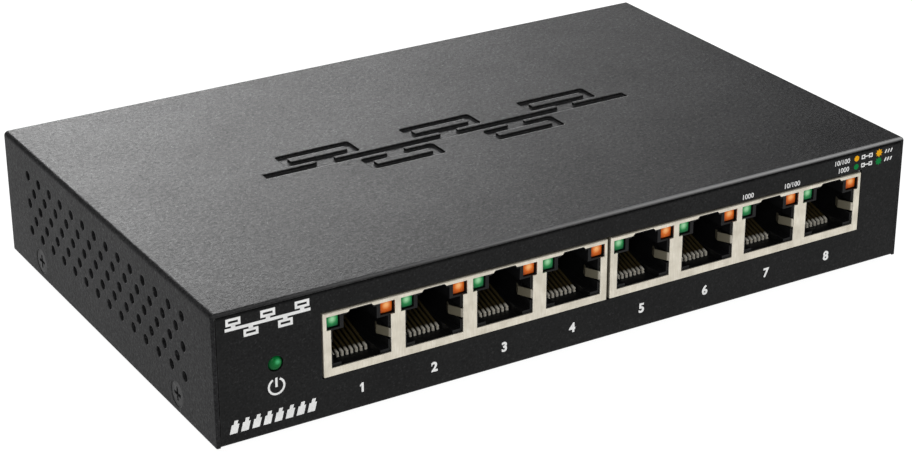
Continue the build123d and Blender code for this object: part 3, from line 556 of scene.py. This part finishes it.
@dataclass(frozen=True)
class SolderMask(Finish):
    """Green solder mask with the copper tracks showing through as paler lines."""

    track_mm: float = 1.3
    tracks_in_block: float = 9.0
    track_share: float = 0.8
    track_edges: Point = (0.7, 0.8)
    track_depth_mm: float = 0.03

    def refine(self, shader: Shader) -> None:
        """Draw a field of parallel tracks that change course in blocks.

        Args:
            shader: The material's tree.
        """
        blocks = shader.add("ShaderNodeTexVoronoi", distance="MANHATTAN")
        blocks.inputs["Scale"].default_value = 1 / (self.tracks_in_block * self.track_mm * MM)
        shader.link(shader.place, blocks.inputs["Vector"])
        waves = shader.add("ShaderNodeTexWave", bands_direction="DIAGONAL")
        waves.inputs["Scale"].default_value = 0.3 / (self.track_mm * MM)
        waves.inputs["Distortion"].default_value = 0.0
        shift = shader.add("ShaderNodeVectorMath", operation="MULTIPLY_ADD")
        shader.link(blocks.outputs["Color"], shift.inputs[0])
        shift.inputs[1].default_value = (4 * self.track_mm * MM, 2 * self.track_mm * MM, 0)
        shader.link(shader.place, shift.inputs[2])
        shader.link(shift.outputs["Vector"], waves.inputs["Vector"])
        base = shader.surface.inputs["Base Color"]
        track = shader.ramp(waves.outputs["Fac"], 0.0, self.track_share, self.track_edges)
        shader.link(shader.blend(track, base.links[0].from_socket, self.edge_colour or self.accent), base)
        shader.bump(track, self.track_depth_mm)
        shader.set(Coat_Weight=0.4, Coat_Roughness=0.2)


COVER_PAINT = BurnishedCoat(
    "cover_paint", (0.010, 0.010, 0.0105), (0.03, 0.03, 0.031), roughness=0.36, roughness_spread=0.006,
    index=1.098, grain_mm=0.5, depth_mm=0.03, orange_peel_depth_mm=0.05, mottle_mm=25.0,
    glint=(0.16, 0.16, 0.16), edge_colour=(0.07, 0.07, 0.07), rounding_mm=0.3,
)
# The tray's paint is a darker copy of the cover's: painted shade on the front panel, which faces away from
# the brightest lights.
TRAY_PAINT = PowderCoat(
    "tray_paint", (0.006, 0.006, 0.0062), (0.014, 0.0145, 0.0145), roughness=0.45, index=1.19,
    roughness_spread=0.02, grain_mm=0.5, depth_mm=0.03, mottle_mm=18.0, glint=(0.07, 0.07, 0.07),
    edge_colour=(0.03, 0.03, 0.03),
)
BLACK_SCREW = Finish(
    "black_screw", (0.022, 0.022, 0.0225), (0.034, 0.034, 0.035), roughness=0.38, index=1.17, grain_mm=0.3,
    depth_mm=0.008, mottle_mm=2.0, edge_colour=(0.10, 0.10, 0.10), edge_mm=0.14, rounding_mm=0.15,
)
ZINC = Finish(
    "zinc_steel", (0.62, 0.62, 0.60), (0.72, 0.70, 0.62), metallic=1.0, roughness=0.3, grain_mm=0.8,
    depth_mm=0.004, mottle_mm=2.5,
)
SHIELD = PlatedSheet(
    "shield_tin", (0.645, 0.595, 0.49), (0.745, 0.70, 0.60), metallic=0.8, roughness=0.36,
    roughness_spread=0.08, relief=Relief.BRUSHED, grain_mm=0.7, depth_mm=0.006, mottle_mm=3.0,
    stretch=(2.2, 1.0, 0.25), edge_colour=(0.9, 0.87, 0.78), edge_mm=0.16, rounding_mm=0.15,
)
NYLON = Finish(
    "jack_nylon", (0.005, 0.005, 0.0053), (0.009, 0.009, 0.0095), roughness=0.42, index=1.25, grain_mm=0.25,
    depth_mm=0.008, mottle_mm=5.0, edge_colour=(0.03, 0.03, 0.031), edge_mm=0.12,
)
GOLD = ContactPlate(
    "contact_gold", (0.96, 0.91, 0.77), (1.0, 0.95, 0.84), metallic=0.15, roughness=0.22,
    relief=Relief.BRUSHED, grain_mm=0.3, depth_mm=0.002, mottle_mm=1.2, stretch=(3.0, 0.3, 1.0),
)
GREEN_LENS = TintedLens(
    "green_lens", (0.008, 0.20, 0.05), (0.012, 0.25, 0.065), roughness=0.3, index=1.25, relief=Relief.SMOOTH,
    mottle_mm=1.5, glow=0.18, crown=(0.30, 0.62, 0.34), rim=(0.0, 0.045, 0.018), crown_mm=0.95, rim_mm=1.7,
    lights=("link_lights_left", "link_lights_right"),
)
POWER_LENS = TintedLens(
    "power_lens", (0.001, 0.12, 0.022), (0.002, 0.15, 0.03), roughness=0.3, index=1.2, relief=Relief.SMOOTH,
    mottle_mm=1.5, glow=0.12, crown=(0.05, 0.36, 0.14), rim=(0.0, 0.04, 0.01), crown_shift=(0.35, 0.4),
    crown_mm=0.7, rim_mm=1.9, lights=("power_light",),
)
AMBER_LENS = TintedLens(
    "amber_lens", (0.60, 0.105, 0.002), (0.68, 0.14, 0.004), roughness=0.3, index=1.25, relief=Relief.SMOOTH,
    mottle_mm=1.5, glow=0.18, crown=(0.88, 0.42, 0.15), rim=(0.24, 0.032, 0.0), crown_mm=0.95, rim_mm=1.7,
    lights=("activity_lights_left", "activity_lights_right"),
)
TIN_LEAD = Finish(
    "tinned_lead", (0.60, 0.59, 0.56), (0.72, 0.71, 0.68), metallic=1.0, roughness=0.34, grain_mm=0.4,
    depth_mm=0.006, mottle_mm=1.0,
)
EPOXY = Finish(
    "chip_epoxy", (0.016, 0.016, 0.017), (0.028, 0.028, 0.03), roughness=0.62, grain_mm=0.2, depth_mm=0.012,
    mottle_mm=6.0, edge_colour=(0.06, 0.06, 0.06), edge_mm=0.15,
)
PAD = Finish(
    "pad_silicone", (0.30, 0.38, 0.46), (0.40, 0.48, 0.55), roughness=0.75, grain_mm=0.3, depth_mm=0.02,
    mottle_mm=3.0,
)
SINK = Finish(
    "sink_aluminium", (0.02, 0.02, 0.022), (0.035, 0.035, 0.038), metallic=0.5, roughness=0.45,
    relief=Relief.BRUSHED, grain_mm=0.6, depth_mm=0.006, stretch=(2.0, 0.1, 1.0),
    edge_colour=(0.25, 0.25, 0.26), edge_mm=0.15,
)
CAN = Finish(
    "can_aluminium", (0.60, 0.62, 0.64), (0.70, 0.71, 0.72), metallic=1.0, roughness=0.34,
    relief=Relief.BRUSHED, grain_mm=0.8, depth_mm=0.004, stretch=(1.0, 1.0, 0.15),
)
FERRITE = Finish(
    "ferrite", (0.045, 0.045, 0.048), (0.075, 0.075, 0.08), roughness=0.8, grain_mm=0.35, depth_mm=0.03,
    edge_colour=(0.12, 0.12, 0.12),
)
CERAMIC = Finish(
    "ceramic", (0.42, 0.33, 0.22), (0.52, 0.42, 0.29), roughness=0.5, grain_mm=0.3, depth_mm=0.006,
    mottle_mm=1.0, edge_colour=(0.7, 0.69, 0.66), edge_mm=0.2,
)
RUBBER = Finish(
    "foot_rubber", (0.012, 0.012, 0.012), (0.022, 0.022, 0.022), roughness=0.82, index=1.3, grain_mm=0.5,
    depth_mm=0.04, mottle_mm=4.0, edge_colour=(0.04, 0.04, 0.04),
)
LABEL = Finish(
    "label_film", (0.66, 0.66, 0.64), (0.72, 0.72, 0.70), roughness=0.5, grain_mm=0.5, depth_mm=0.004,
    edge_colour=(0.8, 0.8, 0.78),
)
WHITE_INK = Finish(
    "white_ink", (0.86, 0.86, 0.85), (0.92, 0.92, 0.91), roughness=0.55, grain_mm=0.25, depth_mm=0.006,
    mottle_mm=2.0,
)
GREEN_INK = Finish(
    "green_ink", (0.0, 0.19, 0.04), (0.001, 0.24, 0.052), roughness=0.55, index=1.15, grain_mm=0.25,
    depth_mm=0.006, mottle_mm=1.0,
)
AMBER_INK = Finish(
    "amber_ink", (0.90, 0.40, 0.004), (0.94, 0.47, 0.008), roughness=0.55, index=1.15, grain_mm=0.25,
    depth_mm=0.006, mottle_mm=1.0,
)
MASK = SolderMask(
    "board_laminate", (0.006, 0.055, 0.022), (0.009, 0.07, 0.03), roughness=0.35, grain_mm=0.6,
    depth_mm=0.004, edge_colour=(0.03, 0.16, 0.06),
)


def material_of(finish: Finish) -> bpy.types.Material:
    """Give a finish's material, made on first use.

    Args:
        finish: The finish.

    Returns:
        The one material that every piece with this finish shares.
    """
    if finish not in materials:
        materials[finish] = finish.build()
    return materials[finish]


def dress(finish: Finish, *names: str) -> None:
    """Give carried-over pieces one finish.

    Args:
        finish: The finish.
        names: The pieces' node names.
    """
    material = material_of(finish)
    for name in names:
        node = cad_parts[name]
        node.data.materials.clear()
        node.data.materials.append(material)
        log.info("%s: %s", name, finish.name)


def nodes_like(*starts: str) -> list[str]:
    """List the node names that start with any of the given words."""
    return sorted(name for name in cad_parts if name.startswith(starts))


# ---------------------------------------------------------------- printed graphics
@dataclass
class PrintedMark:
    """One colour of ink on the front panel, gathered from flat shapes given in millimetres as (x, z)."""

    name: str
    finish: Finish
    slot: str
    panel_y: float
    thickness_mm: float = 0.03
    shapes: bmesh.types.BMesh = field(default_factory=bmesh.new)

    def polygon(self, points: list[Point]) -> None:
        """Add a closed flat shape, given counter-clockwise as seen from the front.

        Args:
            points: The outline.
        """
        back = [self.shapes.verts.new((x * MM, self.panel_y, z * MM)) for x, z in points]
        lift = self.thickness_mm * MM
        front = [self.shapes.verts.new((x * MM, self.panel_y - lift, z * MM)) for x, z in points]
        self.shapes.faces.new(front)
        self.shapes.faces.new(back[::-1])
        for i in range(len(points)):
            j = (i + 1) % len(points)
            self.shapes.faces.new((back[i], back[j], front[j], front[i]))

    def bar(self, start: Point, end: Point, width: float) -> None:
        """Add a straight bar.

        Args:
            start: The middle of one end.
            end: The middle of the other end.
            width: The bar's width.
        """
        along = (Vector(end) - Vector(start)).normalized()
        side = Vector((along.y, -along.x)) * width / 2
        corners = (Vector(start) + side, Vector(end) + side, Vector(end) - side, Vector(start) - side)
        self.polygon([tuple(corner) for corner in corners])

    def star(self, centre: Point, outer: float, inner: float, count: int) -> None:
        """Add a star, or a disc if both radii are the same.

        Args:
            centre: The middle.
            outer: The radius of the points.
            inner: The radius between the points.
            count: How many points it has.
        """
        outline = []
        for i in range(2 * count):
            radius = inner if i % 2 else outer
            angle = math.pi / 2 + i * math.pi / count
            outline.append((centre[0] + radius * math.cos(angle), centre[1] + radius * math.sin(angle)))
        self.polygon(outline)

    def arc(self, centre: Point, radius: float, width: float, between: Point, steps: int = 40) -> None:
        """Add a ring, or part of one, as short bars that share their ends.

        Args:
            centre: The middle of the ring.
            radius: The radius of its middle line.
            width: The width of the line.
            between: The angles it starts and ends at, in degrees.
            steps: How many bars it has.
        """
        start, end = between
        outer, inner = radius + width / 2, radius - width / 2
        for i in range(steps):
            first, last = (math.radians(start + (end - start) * (i + k) / steps) for k in (0, 1))
            corners = ((outer, first), (outer, last), (inner, last), (inner, first))
            self.polygon([(centre[0] + r * math.cos(a), centre[1] + r * math.sin(a)) for r, a in corners])

    def frame_box(self, centre: Point, width: float, height: float, line: float) -> None:
        """Add the outline of a box.

        Args:
            centre: The middle of the box.
            width: The box's outer width.
            height: The box's outer height.
            line: The width of its line.
        """
        x, z = centre
        for side in (-1, 1):
            level = z + side * (height - line) / 2
            self.bar((x - width / 2, level), (x + width / 2, level), line)
            upright = x + side * (width - line) / 2
            self.bar((upright, z - height / 2 + line), (upright, z + height / 2 - line), line)

    def numerals(self, text: str, centre: Point, height: float, weight: float = 0.09) -> None:
        """Add figures.

        Args:
            text: The figures.
            centre: The middle of the whole row of figures.
            height: The height of a figure.
            weight: How much the strokes are thickened, in millimetres.
        """
        curve = bpy.data.curves.new("numerals", "FONT")
        curve.body = text
        curve.size = height * MM / FIGURE_SHARE
        curve.offset = weight * MM
        curve.extrude = self.thickness_mm * MM / 2
        curve.resolution_u = 4
        holder = bpy.data.objects.new("numerals", curve)
        bpy.context.scene.collection.objects.link(holder)
        evaluated = holder.evaluated_get(bpy.context.evaluated_depsgraph_get())
        mesh = bpy.data.meshes.new_from_object(evaluated)
        corners = [vertex.co for vertex in mesh.vertices]
        middle = [(min(c[i] for c in corners) + max(c[i] for c in corners)) / 2 for i in (0, 1)]
        stand = Matrix.Rotation(math.pi / 2, 4, "X") @ Matrix.Translation((-middle[0], -middle[1], 0))
        lift = self.thickness_mm * MM / 2
        mesh.transform(Matrix.Translation((centre[0] * MM, self.panel_y - lift, centre[1] * MM)) @ stand)
        self.shapes.from_mesh(mesh)
        bpy.data.objects.remove(holder)
        bpy.data.meshes.remove(mesh)

    def finish_piece(self) -> None:
        """Turn the gathered shapes into one piece that rides on the case."""
        mesh = bpy.data.meshes.new(self.name)
        bmesh.ops.remove_doubles(self.shapes, verts=self.shapes.verts, dist=1e-7)
        bmesh.ops.recalc_face_normals(self.shapes, faces=self.shapes.faces)
        self.shapes.to_mesh(mesh)
        self.shapes.free()
        mesh.materials.append(material_of(self.finish))
        piece = bpy.data.objects.new(self.name, mesh)
        bpy.context.scene.collection.objects.link(piece)
        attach(piece, BODY)
        log.info("%s: printed in %s", self.name, self.finish.name)


@dataclass
class PanelPrint:
    """Everything that is printed on the front panel. Heights are above the case's bottom edge."""

    number_height: float = 2.0
    number_level: float = 4.4
    number_weight: float = 0.11
    symbol_below_light: float = 4.7
    symbol_radius: float = 1.6
    symbol_line: float = 0.42
    symbol_angles: Point = (116.0, 424.0)
    symbol_bar_rise: float = 0.2
    symbol_bar_drop: float = 0.15
    tree_x: float = -69.6
    tree_level: float = 23.7
    tree_half: float = 8.7
    tree_trunk: float = 0.62
    tree_boxes: int = 5
    tree_pitch: float = 3.5
    tree_stem: Point = (0.31, 0.75)
    tree_stem_width: float = 0.9
    tree_box_rise: float = 1.45
    tree_box_size: Point = (3.0, 1.5)
    tree_line: float = 0.52
    row_x: float = -78.3
    row_level: float = 2.3
    row_pitch: float = 2.3
    port_width: float = 1.55
    port_height: float = 2.6
    port_slant: float = 0.7
    legend_step: float = 1.85
    legend_row: float = 25.2
    legend_dot: float = 0.62
    legend_dot_x: float = 68.2
    legend_burst: float = 0.95
    legend_burst_x: float = 74.25
    legend_burst_waist: float = 0.62
    legend_speed_x: float = 64.4
    legend_speed_shift: float = 0.5
    legend_box: float = 0.95
    legend_box_xs: Point = (70.0, 72.0)
    legend_line: float = 0.24
    legend_link_inset: float = 0.5
    dash_x: float = 75.9
    dash_step: float = 0.75
    dash_lean: float = 0.4
    dash_half: float = 0.4
    dash_width: float = 0.3
    caption_height: float = 1.1
    caption_weight: float = 0.02
    caption_level: float = 23.1
    caption_shifts: Point = (-5.8, 5.6)

    def __post_init__(self) -> None:
        """Read the panel's place and the case's bottom edge from the frame."""
        tray_low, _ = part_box("base_tray")
        self.panel_y = tray_low.y
        self.bottom = tray_low.z / MM

    def mark(self, name: str, finish: Finish, slot: str = "label_film") -> PrintedMark:
        """Start an empty mark on the panel."""
        return PrintedMark(name, finish, slot, self.panel_y)

    def build(self) -> None:
        """Print every mark."""
        self.print_port_numbers()
        self.print_power_symbol()
        self.print_network_pictogram()
        self.print_port_row_pictogram()
        self.print_legend()

    def print_port_numbers(self) -> None:
        """Number each port under its middle."""
        numbers = self.mark("port_numbers", WHITE_INK)
        for i in range(1, PORTS + 1):
            place = (self.port_middle(i), self.bottom + self.number_level)
            if i == 1:
                self.draw_one(numbers, place)
            else:
                numbers.numerals(str(i), place, self.number_height, self.number_weight)
        numbers.finish_piece()

    def port_middle(self, number: int) -> float:
        """Give the middle of a port across the panel, in millimetres."""
        low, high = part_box(f"port_{number}_contacts")
        return (low.x + high.x) / 2 / MM

    def draw_one(self, numbers: PrintedMark, place: Point) -> None:
        """Draw a figure one with a flag, which the plain face lacks.

        Args:
            numbers: The mark it goes into.
            place: The middle of the figure.
        """
        x, z = place
        half = self.number_height / 2
        numbers.polygon([(x + across, z + up * half) for across, up in FIGURE_ONE])

    def print_power_symbol(self) -> None:
        """Draw the standby symbol, a broken ring with a bar in its gap, under the power light."""
        low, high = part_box("power_light")
        x = (low.x + high.x) / 2 / MM
        z = (low.z + high.z) / 2 / MM - self.symbol_below_light
        symbol = self.mark("power_symbol", WHITE_INK)
        symbol.arc((x, z), self.symbol_radius, self.symbol_line, self.symbol_angles)
        top, foot = z + self.symbol_radius + self.symbol_bar_rise, z - self.symbol_bar_drop
        symbol.bar((x, top), (x, foot), 1.1 * self.symbol_line)
        symbol.finish_piece()

    def print_network_pictogram(self) -> None:
        """Draw a small network tree, three boxes over a trunk and two under it."""
        tree = self.mark("network_pictogram", WHITE_INK)
        level = self.bottom + self.tree_level
        left, right = self.tree_x - self.tree_half, self.tree_x + self.tree_half
        tree.bar((left, level), (right, level), self.tree_trunk)
        for i in range(self.tree_boxes):
            x = self.tree_x + (i - self.tree_boxes // 2) * self.tree_pitch
            side = 1 if i % 2 == 0 else -1
            start, end = (level + side * reach for reach in self.tree_stem)
            tree.bar((x, start), (x, end), self.tree_stem_width)
            tree.frame_box((x, level + side * self.tree_box_rise), *self.tree_box_size, self.tree_line)
        tree.finish_piece()

    def print_port_row_pictogram(self) -> None:
        """Draw a row of slanted ports."""
        row = self.mark("port_row_pictogram", WHITE_INK)
        z = self.bottom + self.row_level
        for i in range(PORTS):
            x = self.row_x + i * self.row_pitch
            row.polygon(
                [
                    (x + self.port_width * across + self.port_slant * up, z + self.port_height * up)
                    for across, up in PORT_OUTLINE
                ]
            )
        row.finish_piece()

    def print_legend(self) -> None:
        """Print which light means what: speeds as figures, steady as a disc and flashing as a burst."""
        captions = self.mark("legend_captions", WHITE_INK)
        rows = (("10/100", AMBER_INK, "amber_lens", "amber"), ("1000", GREEN_INK, "green_lens", "green"))
        for i, (speed, ink, slot, word) in enumerate(rows):
            z = self.bottom + self.legend_row - i * self.legend_step
            lights = self.mark(f"legend_{word}_lights", ink, slot)
            lights.star((self.legend_dot_x, z), self.legend_dot, self.legend_dot, 16)
            waist = self.legend_burst_waist * self.legend_burst
            lights.star((self.legend_burst_x, z), self.legend_burst, waist, 8)
            lights.finish_piece()
            self.caption(captions, speed, (self.legend_speed_x + self.legend_speed_shift * i, z))
            self.draw_link(captions, z)
            self.draw_dashes(captions, z)
        for speed, shift in zip(("1000", "10/100"), self.caption_shifts):
            self.caption(captions, speed, (self.port_middle(7) + shift, self.bottom + self.caption_level))
        captions.finish_piece()

    def caption(self, captions: PrintedMark, text: str, place: Point) -> None:
        """Add one caption, given by its middle."""
        captions.numerals(text, place, self.caption_height, self.caption_weight)

    def draw_link(self, captions: PrintedMark, level: float) -> None:
        """Draw two joined boxes, for a light that shows a link.

        Args:
            captions: The mark they go into.
            level: The height of their middle.
        """
        for x in self.legend_box_xs:
            captions.frame_box((x, level), self.legend_box, self.legend_box, self.legend_line)
        left, right = self.legend_box_xs
        inset = self.legend_link_inset
        captions.bar((left + inset, level), (right - inset, level), self.legend_line)

    def draw_dashes(self, captions: PrintedMark, level: float) -> None:
        """Draw three slanted dashes, for a light that shows traffic.

        Args:
            captions: The mark they go into.
            level: The height of their middle.
        """
        for i in range(3):
            x = self.dash_x + self.dash_step * i
            foot, top = level - self.dash_half, level + self.dash_half
            captions.bar((x, foot), (x + self.dash_lean, top), self.dash_width)


# ---------------------------------------------------------------- the switch's own pieces
@dataclass
class Casing:
    """The cover, the tray, their screws, the feet and the blank label."""

    def build(self) -> None:
        """Dress every piece of the casing."""
        dress(COVER_PAINT, "top_cover")
        dress(TRAY_PAINT, "base_tray")
        dress(BLACK_SCREW, "cover_screws")
        dress(RUBBER, *nodes_like("foot_"))
        dress(LABEL, "rating_label")


@dataclass
class Jacks:
    """Both ganged jacks with their shields, insulators, contacts and lights."""

    def build(self) -> None:
        """Dress every piece of the jacks."""
        dress(SHIELD, *nodes_like("jack_shield"))
        dress(NYLON, *nodes_like("jack_housing", "contact_carriers"))
        dress(GOLD, *nodes_like("contact_posts"), *[f"port_{i}_contacts" for i in range(1, PORTS + 1)])
        dress(GREEN_LENS, *nodes_like("link_lights"))
        dress(AMBER_LENS, *nodes_like("activity_lights"))
        dress(TIN_LEAD, *nodes_like("port_light_leads"))


@dataclass
class PowerParts:
    """The power light and the barrel inlet."""

    def build(self) -> None:
        """Dress the power light and the inlet."""
        dress(POWER_LENS, "power_light")
        dress(NYLON, "power_light_holder", "inlet_housing")
        dress(TIN_LEAD, "power_light_leads", "inlet_pin", "inlet_terminals", "inlet_sleeve_spring")


@dataclass
class Electronics:
    """The circuit board and what is soldered to it."""

    def build(self) -> None:
        """Dress the board and its parts."""
        dress(MASK, "circuit_board")
        dress(ZINC, "board_screws", "crystal")
        dress(EPOXY, *nodes_like("line_transformer", "switch_chip", "converter", "memory", "diode"))
        dress(TIN_LEAD, "switch_chip_leads", "transformer_leads", "small_chip_leads", "component_leads")
        dress(PAD, "thermal_pad")
        dress(SINK, "heat_sink")
        dress(CAN, "input_capacitor", *nodes_like("output_capacitor"))
        dress(FERRITE, "inductor")
        dress(CERAMIC, "chip_resistors", "chip_capacitors")


# ---------------------------------------------------------------- studio
@dataclass(frozen=True)
class Softbox:
    """A rectangular soft light that faces a point."""

    name: str
    place: Place
    size: Point
    power: float
    aim: Place = (0.0, 0.0, 0.03)

    def build(self) -> None:
        """Hang the light."""
        light = bpy.data.lights.new(self.name, "AREA")
        light.shape = "RECTANGLE"
        light.size, light.size_y = self.size
        light.energy = self.power
        lamp = bpy.data.objects.new(self.name, light)
        lamp.location = self.place
        lamp.rotation_euler = (Vector(self.aim) - Vector(self.place)).to_track_quat("-Z", "Y").to_euler()
        bpy.context.scene.collection.objects.link(lamp)


@dataclass
class Studio:
    """The floor, the lights and the camera."""

    camera_place: Place = (-0.23251, -0.38903, 0.21496)
    azimuth: float = 30.961
    elevation: float = -24.602
    roll: float = -0.133
    lens_mm: float = 90.977
    sensor_mm: float = 36.0
    nearest_seen: float = 0.01
    floor_half: float = 3.0
    floor_gap: float = 0.0001
    floor_grey: float = 0.15
    floor_glow: float = 0.97
    world_strength: float = 0.2
    rear_powers: tuple[float, ...] = (4.6, 2.5, 0.85)
    rear_start: float = 12.0
    rear_step: float = 12.0
    rear_lift: float = 24.0
    rear_distance: float = 1.0
    rear_height: float = 0.24

    def build(self) -> None:
        """Build the studio round the switch."""
        self.build_floor()
        self.build_lights()
        self.build_camera()

    def build_floor(self) -> None:
        """Lay a pale floor under the feet."""
        mesh = bpy.data.meshes.new("floor")
        shapes = bmesh.new()
        bmesh.ops.create_grid(shapes, x_segments=8, y_segments=8, size=self.floor_half)
        shapes.to_mesh(mesh)
        shapes.free()
        floor = bpy.data.objects.new("floor", mesh)
        floor.location.z = cad_low.z - self.floor_gap
        shader = Shader("floor_paper")
        shader.set(
            Base_Color=(self.floor_grey, self.floor_grey, self.floor_grey, 1),
            Roughness=0.9,
            IOR=1.05,
            Emission_Color=(1, 1, 1, 1),
            Emission_Strength=self.floor_glow,
        )
        mesh.materials.append(shader.material)
        bpy.context.scene.collection.objects.link(floor)

    def build_lights(self) -> None:
        """Hang a row of boxes behind the switch that fades to the right, an overhead box and a front fill."""
        lift = math.radians(self.rear_lift)
        size = (self.rear_distance * math.radians(self.rear_step), self.rear_height)
        for i, power in enumerate(self.rear_powers):
            turn = math.radians(self.rear_start + i * self.rear_step)
            ray = Vector((math.sin(turn) * math.cos(lift), math.cos(turn) * math.cos(lift), math.sin(lift)))
            place = tuple(Vector(Softbox.aim) + self.rear_distance * ray)
            Softbox(f"rear_box_{i + 1}", place, size, power).build()
        Softbox("rear_high_box", place=(0.07, 0.78, 0.68), size=(0.3, 0.3), power=3.0).build()
        Softbox("overhead_box", place=(-0.2, -0.2, 1.2), size=(1.0, 1.0), power=4.0).build()
        Softbox("front_fill", place=(-0.65, -1.1, 0.75), size=(0.5, 0.5), power=5.0).build()
        world = bpy.data.worlds.new("studio")
        world.use_nodes = True
        background = world.node_tree.nodes["Background"]
        background.inputs["Color"].default_value = (1, 1, 1, 1)
        background.inputs["Strength"].default_value = self.world_strength
        bpy.context.scene.world = world

    def build_camera(self) -> None:
        """Set the camera up."""
        data = bpy.data.cameras.new("camera")
        data.lens = self.lens_mm
        data.sensor_width = self.sensor_mm
        data.clip_start = self.nearest_seen
        camera = bpy.data.objects.new("camera", data)
        turn = Matrix.Rotation(math.radians(-self.azimuth), 4, "Z")
        tilt = Matrix.Rotation(math.radians(90 + self.elevation), 4, "X")
        roll = Matrix.Rotation(math.radians(self.roll), 4, "Z")
        camera.matrix_world = Matrix.Translation(self.camera_place) @ turn @ tilt @ roll
        bpy.context.scene.collection.objects.link(camera)
        bpy.context.scene.camera = camera


def main() -> None:
    """Build the studio and dress the switch, one sub-assembly after the other."""
    logging.basicConfig(level=logging.INFO, format="%(name)s: %(message)s")
    bpy.context.scene.view_settings.view_transform = "Standard"
    for part in (Studio(), Casing(), Jacks(), PowerParts(), Electronics(), PanelPrint()):
        log.info("building %s", type(part).__name__)
        part.build()


if __name__ == "__main__":
    main()
